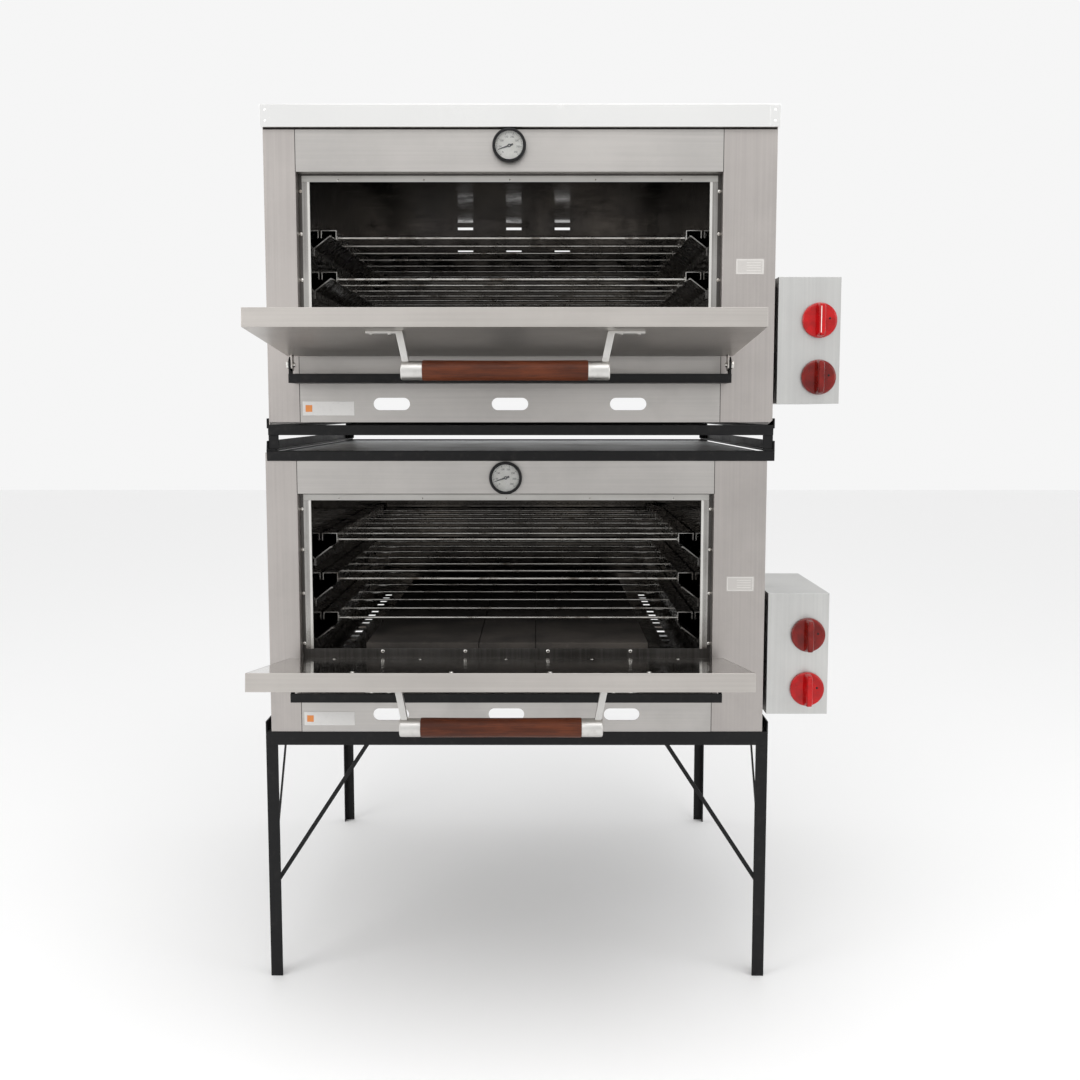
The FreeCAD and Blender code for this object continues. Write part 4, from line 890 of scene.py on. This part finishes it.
DIMPLE_ASIDE, DIMPLE_UP = 17 * MM, 3 * MM
GLINT_ASIDE, GLINT_INSET, GLINT_WIDTH, GLINT_PROUD = 3.4 * MM, 8 * MM, 1.3 * MM, 0.05 * MM
for deck in DECKS:
    eased(f"{deck}_control_box", box_steel, 0.9, 3)
    for number in (1, 2):
        node = f"{deck}_knob_{number}"
        low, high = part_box(node)
        add_piece(f"{node}_moulding", as_mesh(knob_shape(low, high), "knob"), KNOBS[SLOT_OF[node]],
                  BODY_OF[node], SLOT_OF[node], node)
        middle = (low + high) / 2
        dimple = turn([(0, 0.35 * MM), (1.6 * MM, 0.3 * MM), (2.1 * MM, 0), (2.1 * MM, -0.4 * MM)],
                      (middle.x + DIMPLE_ASIDE, high.y - KNOB_BASE, middle.z + DIMPLE_UP), (0, -1, 0), 20)
        add_piece(f"{node}_dimple", as_mesh(dimple, "dimple"), bezel, BODY_OF[node], SLOT_OF[node])
# painted highlight: a pale strip in the dial-face white down the front of the upper knob's grip, for the
# glint on its bar
low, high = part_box("upper_knob_1")
glint_x = (low.x + high.x) / 2 - GLINT_ASIDE
glint_line = bmesh.new()
block(glint_line, (glint_x, low.y - GLINT_PROUD, low.z + GLINT_INSET),
      (glint_x + GLINT_WIDTH, low.y + MM, high.z - GLINT_INSET))
add_piece("upper_knob_1_painted_glint", as_mesh(glint_line, "knob painted glint"), face, BODY_OF["upper_knob_1"],
          SLOT_OF["upper_knob_1"])
eased("control_box_mounts", enamel, 0.8)


def pipe_finish():
    material, place, shader = new_finish("pipe steel", Metallic=1.0)
    rust = place.noise(34, 7, 0.7).between(0.5, 0.74)
    skin = place.noise(6, 4).tint((0.2, 0.19, 0.18), (0.32, 0.3, 0.28))
    feed(shader, Base_Color=rust.tint(skin, (0.16, 0.075, 0.04)), Roughness=0.38 + rust * 0.36,
         Normal=place.bump(rust + place.noise(500, 3), 0.3))
    return material


pipe_steel = pipe_finish()
eased("burners", pipe_steel, 0.3)
THREADS, PITCH, PIPE_WALL, NUT_BACK = 9, 1.8 * MM, 10.5 * MM, 10 * MM
for mount in record["mounts"]:
    if not mount["name"].endswith("gas_inlet"):
        continue
    outline = []
    for step in range(THREADS):
        outline += [(PIPE_WALL, step * PITCH), (PIPE_WALL + 0.45 * MM, (step + 0.5) * PITCH)]
    outline.append((PIPE_WALL, THREADS * PITCH))
    start = Vector(mount["pos_m"]) + Vector((0, 15 * MM - THREADS * PITCH - 0.5 * MM, 0))
    thread = turn(outline, start, (0, 1, 0), 40)
    nut = turn([(PIPE_WALL, 0), (16 * MM, 0), (17 * MM, 1 * MM), (17 * MM, 6 * MM), (16 * MM, 7 * MM),
                (PIPE_WALL, 7 * MM)], start - Vector((0, NUT_BACK, 0)), (0, 1, 0), 6)
    name = mount["name"]
    add_piece(f"{name}_thread", as_mesh(merged([thread, nut]), "thread"), pipe_steel, "casing", "burners")

# ---------------------------------------------------------------- blank plates
# A thin rating plate on the right post and a pale sticker at the foot of the front panel, both left
# without lettering: the plate has a printed border and ruled lines, the sticker a plain tab of colour.


def label_finish(name, colour, rough):
    material, place, shader = new_finish(name)
    scuffs = place.noise(160, 6, 0.7).between(0.5, 0.8)
    dull = tuple(value * 0.78 for value in colour)
    feed(shader, Base_Color=(scuffs * 0.5).tint(colour, dull), Roughness=rough + scuffs * 0.2,
         Normal=place.bump(place.noise(700, 2), 0.05))
    return material


foil = label_finish("plate foil", (0.5, 0.48, 0.46), 0.4)
paper = label_finish("sticker film", (0.67, 0.66, 0.645), 0.4)
border_ink = label_finish("border ink", (0.72, 0.71, 0.68), 0.5)
tab_ink = label_finish("tab colour", (0.72, 0.25, 0.06), 0.5)
plates = sorted(centres("blank_plates"), key=lambda spot: (spot.x > BODY_MIDDLE, spot.z))
PLATE_SIZES = {True: (50 * MM, 27 * MM), False: (92 * MM, 25 * MM)}
INK_RISE, FILM_HALF = 0.15 * MM, 0.3 * MM
BORDER_INSET, BORDER, RULE_HALF, RULE_PITCH = 2 * MM, 0.8 * MM, 0.3 * MM, 4.4 * MM
RULE_START, RULE_END = -6 * MM, 19 * MM
TAB_START, TAB_END, TAB_HALF = 5 * MM, 17 * MM, 6 * MM
for order, spot in enumerate(plates):
    rating = spot.x > BODY_MIDDLE
    wide, tall = PLATE_SIZES[rating]
    base = bmesh.new()
    block(base, (spot.x - wide / 2, spot.y - FILM_HALF, spot.z - tall / 2),
          (spot.x + wide / 2, spot.y + FILM_HALF, spot.z + tall / 2))
    stands_for = ("blank_plates",) if order == 0 else ()
    name = f"{'rating_plate' if rating else 'sticker'}_{order}"
    soften(add_piece(name, as_mesh(base, name), foil if rating else paper, "casing", "blank_plates",
                     *stands_for), 0.15)
    face_y = spot.y - FILM_HALF
    printing = bmesh.new()
    if rating:
        for side in (-1, 1):
            x = spot.x + side * (wide / 2 - BORDER_INSET)
            z = spot.z + side * (tall / 2 - BORDER_INSET)
            block(printing, (x - BORDER / 2, face_y - INK_RISE, spot.z - tall / 2 + BORDER_INSET),
                  (x + BORDER / 2, face_y, spot.z + tall / 2 - BORDER_INSET))
            block(printing, (spot.x - wide / 2 + BORDER_INSET, face_y - INK_RISE, z - BORDER / 2),
                  (spot.x + wide / 2 - BORDER_INSET, face_y, z + BORDER / 2))
        for step in range(4):
            z = spot.z + (step - 1.5) * RULE_PITCH
            block(printing, (spot.x + RULE_START, face_y - INK_RISE, z - RULE_HALF),
                  (spot.x + RULE_END, face_y, z + RULE_HALF))
    else:
        block(printing, (spot.x - wide / 2 + TAB_START, face_y - INK_RISE, spot.z - TAB_HALF),
              (spot.x - wide / 2 + TAB_END, face_y, spot.z + TAB_HALF))
    add_piece(f"{name}_print", as_mesh(printing, name), border_ink if rating else tab_ink, "casing",
              "blank_plates")
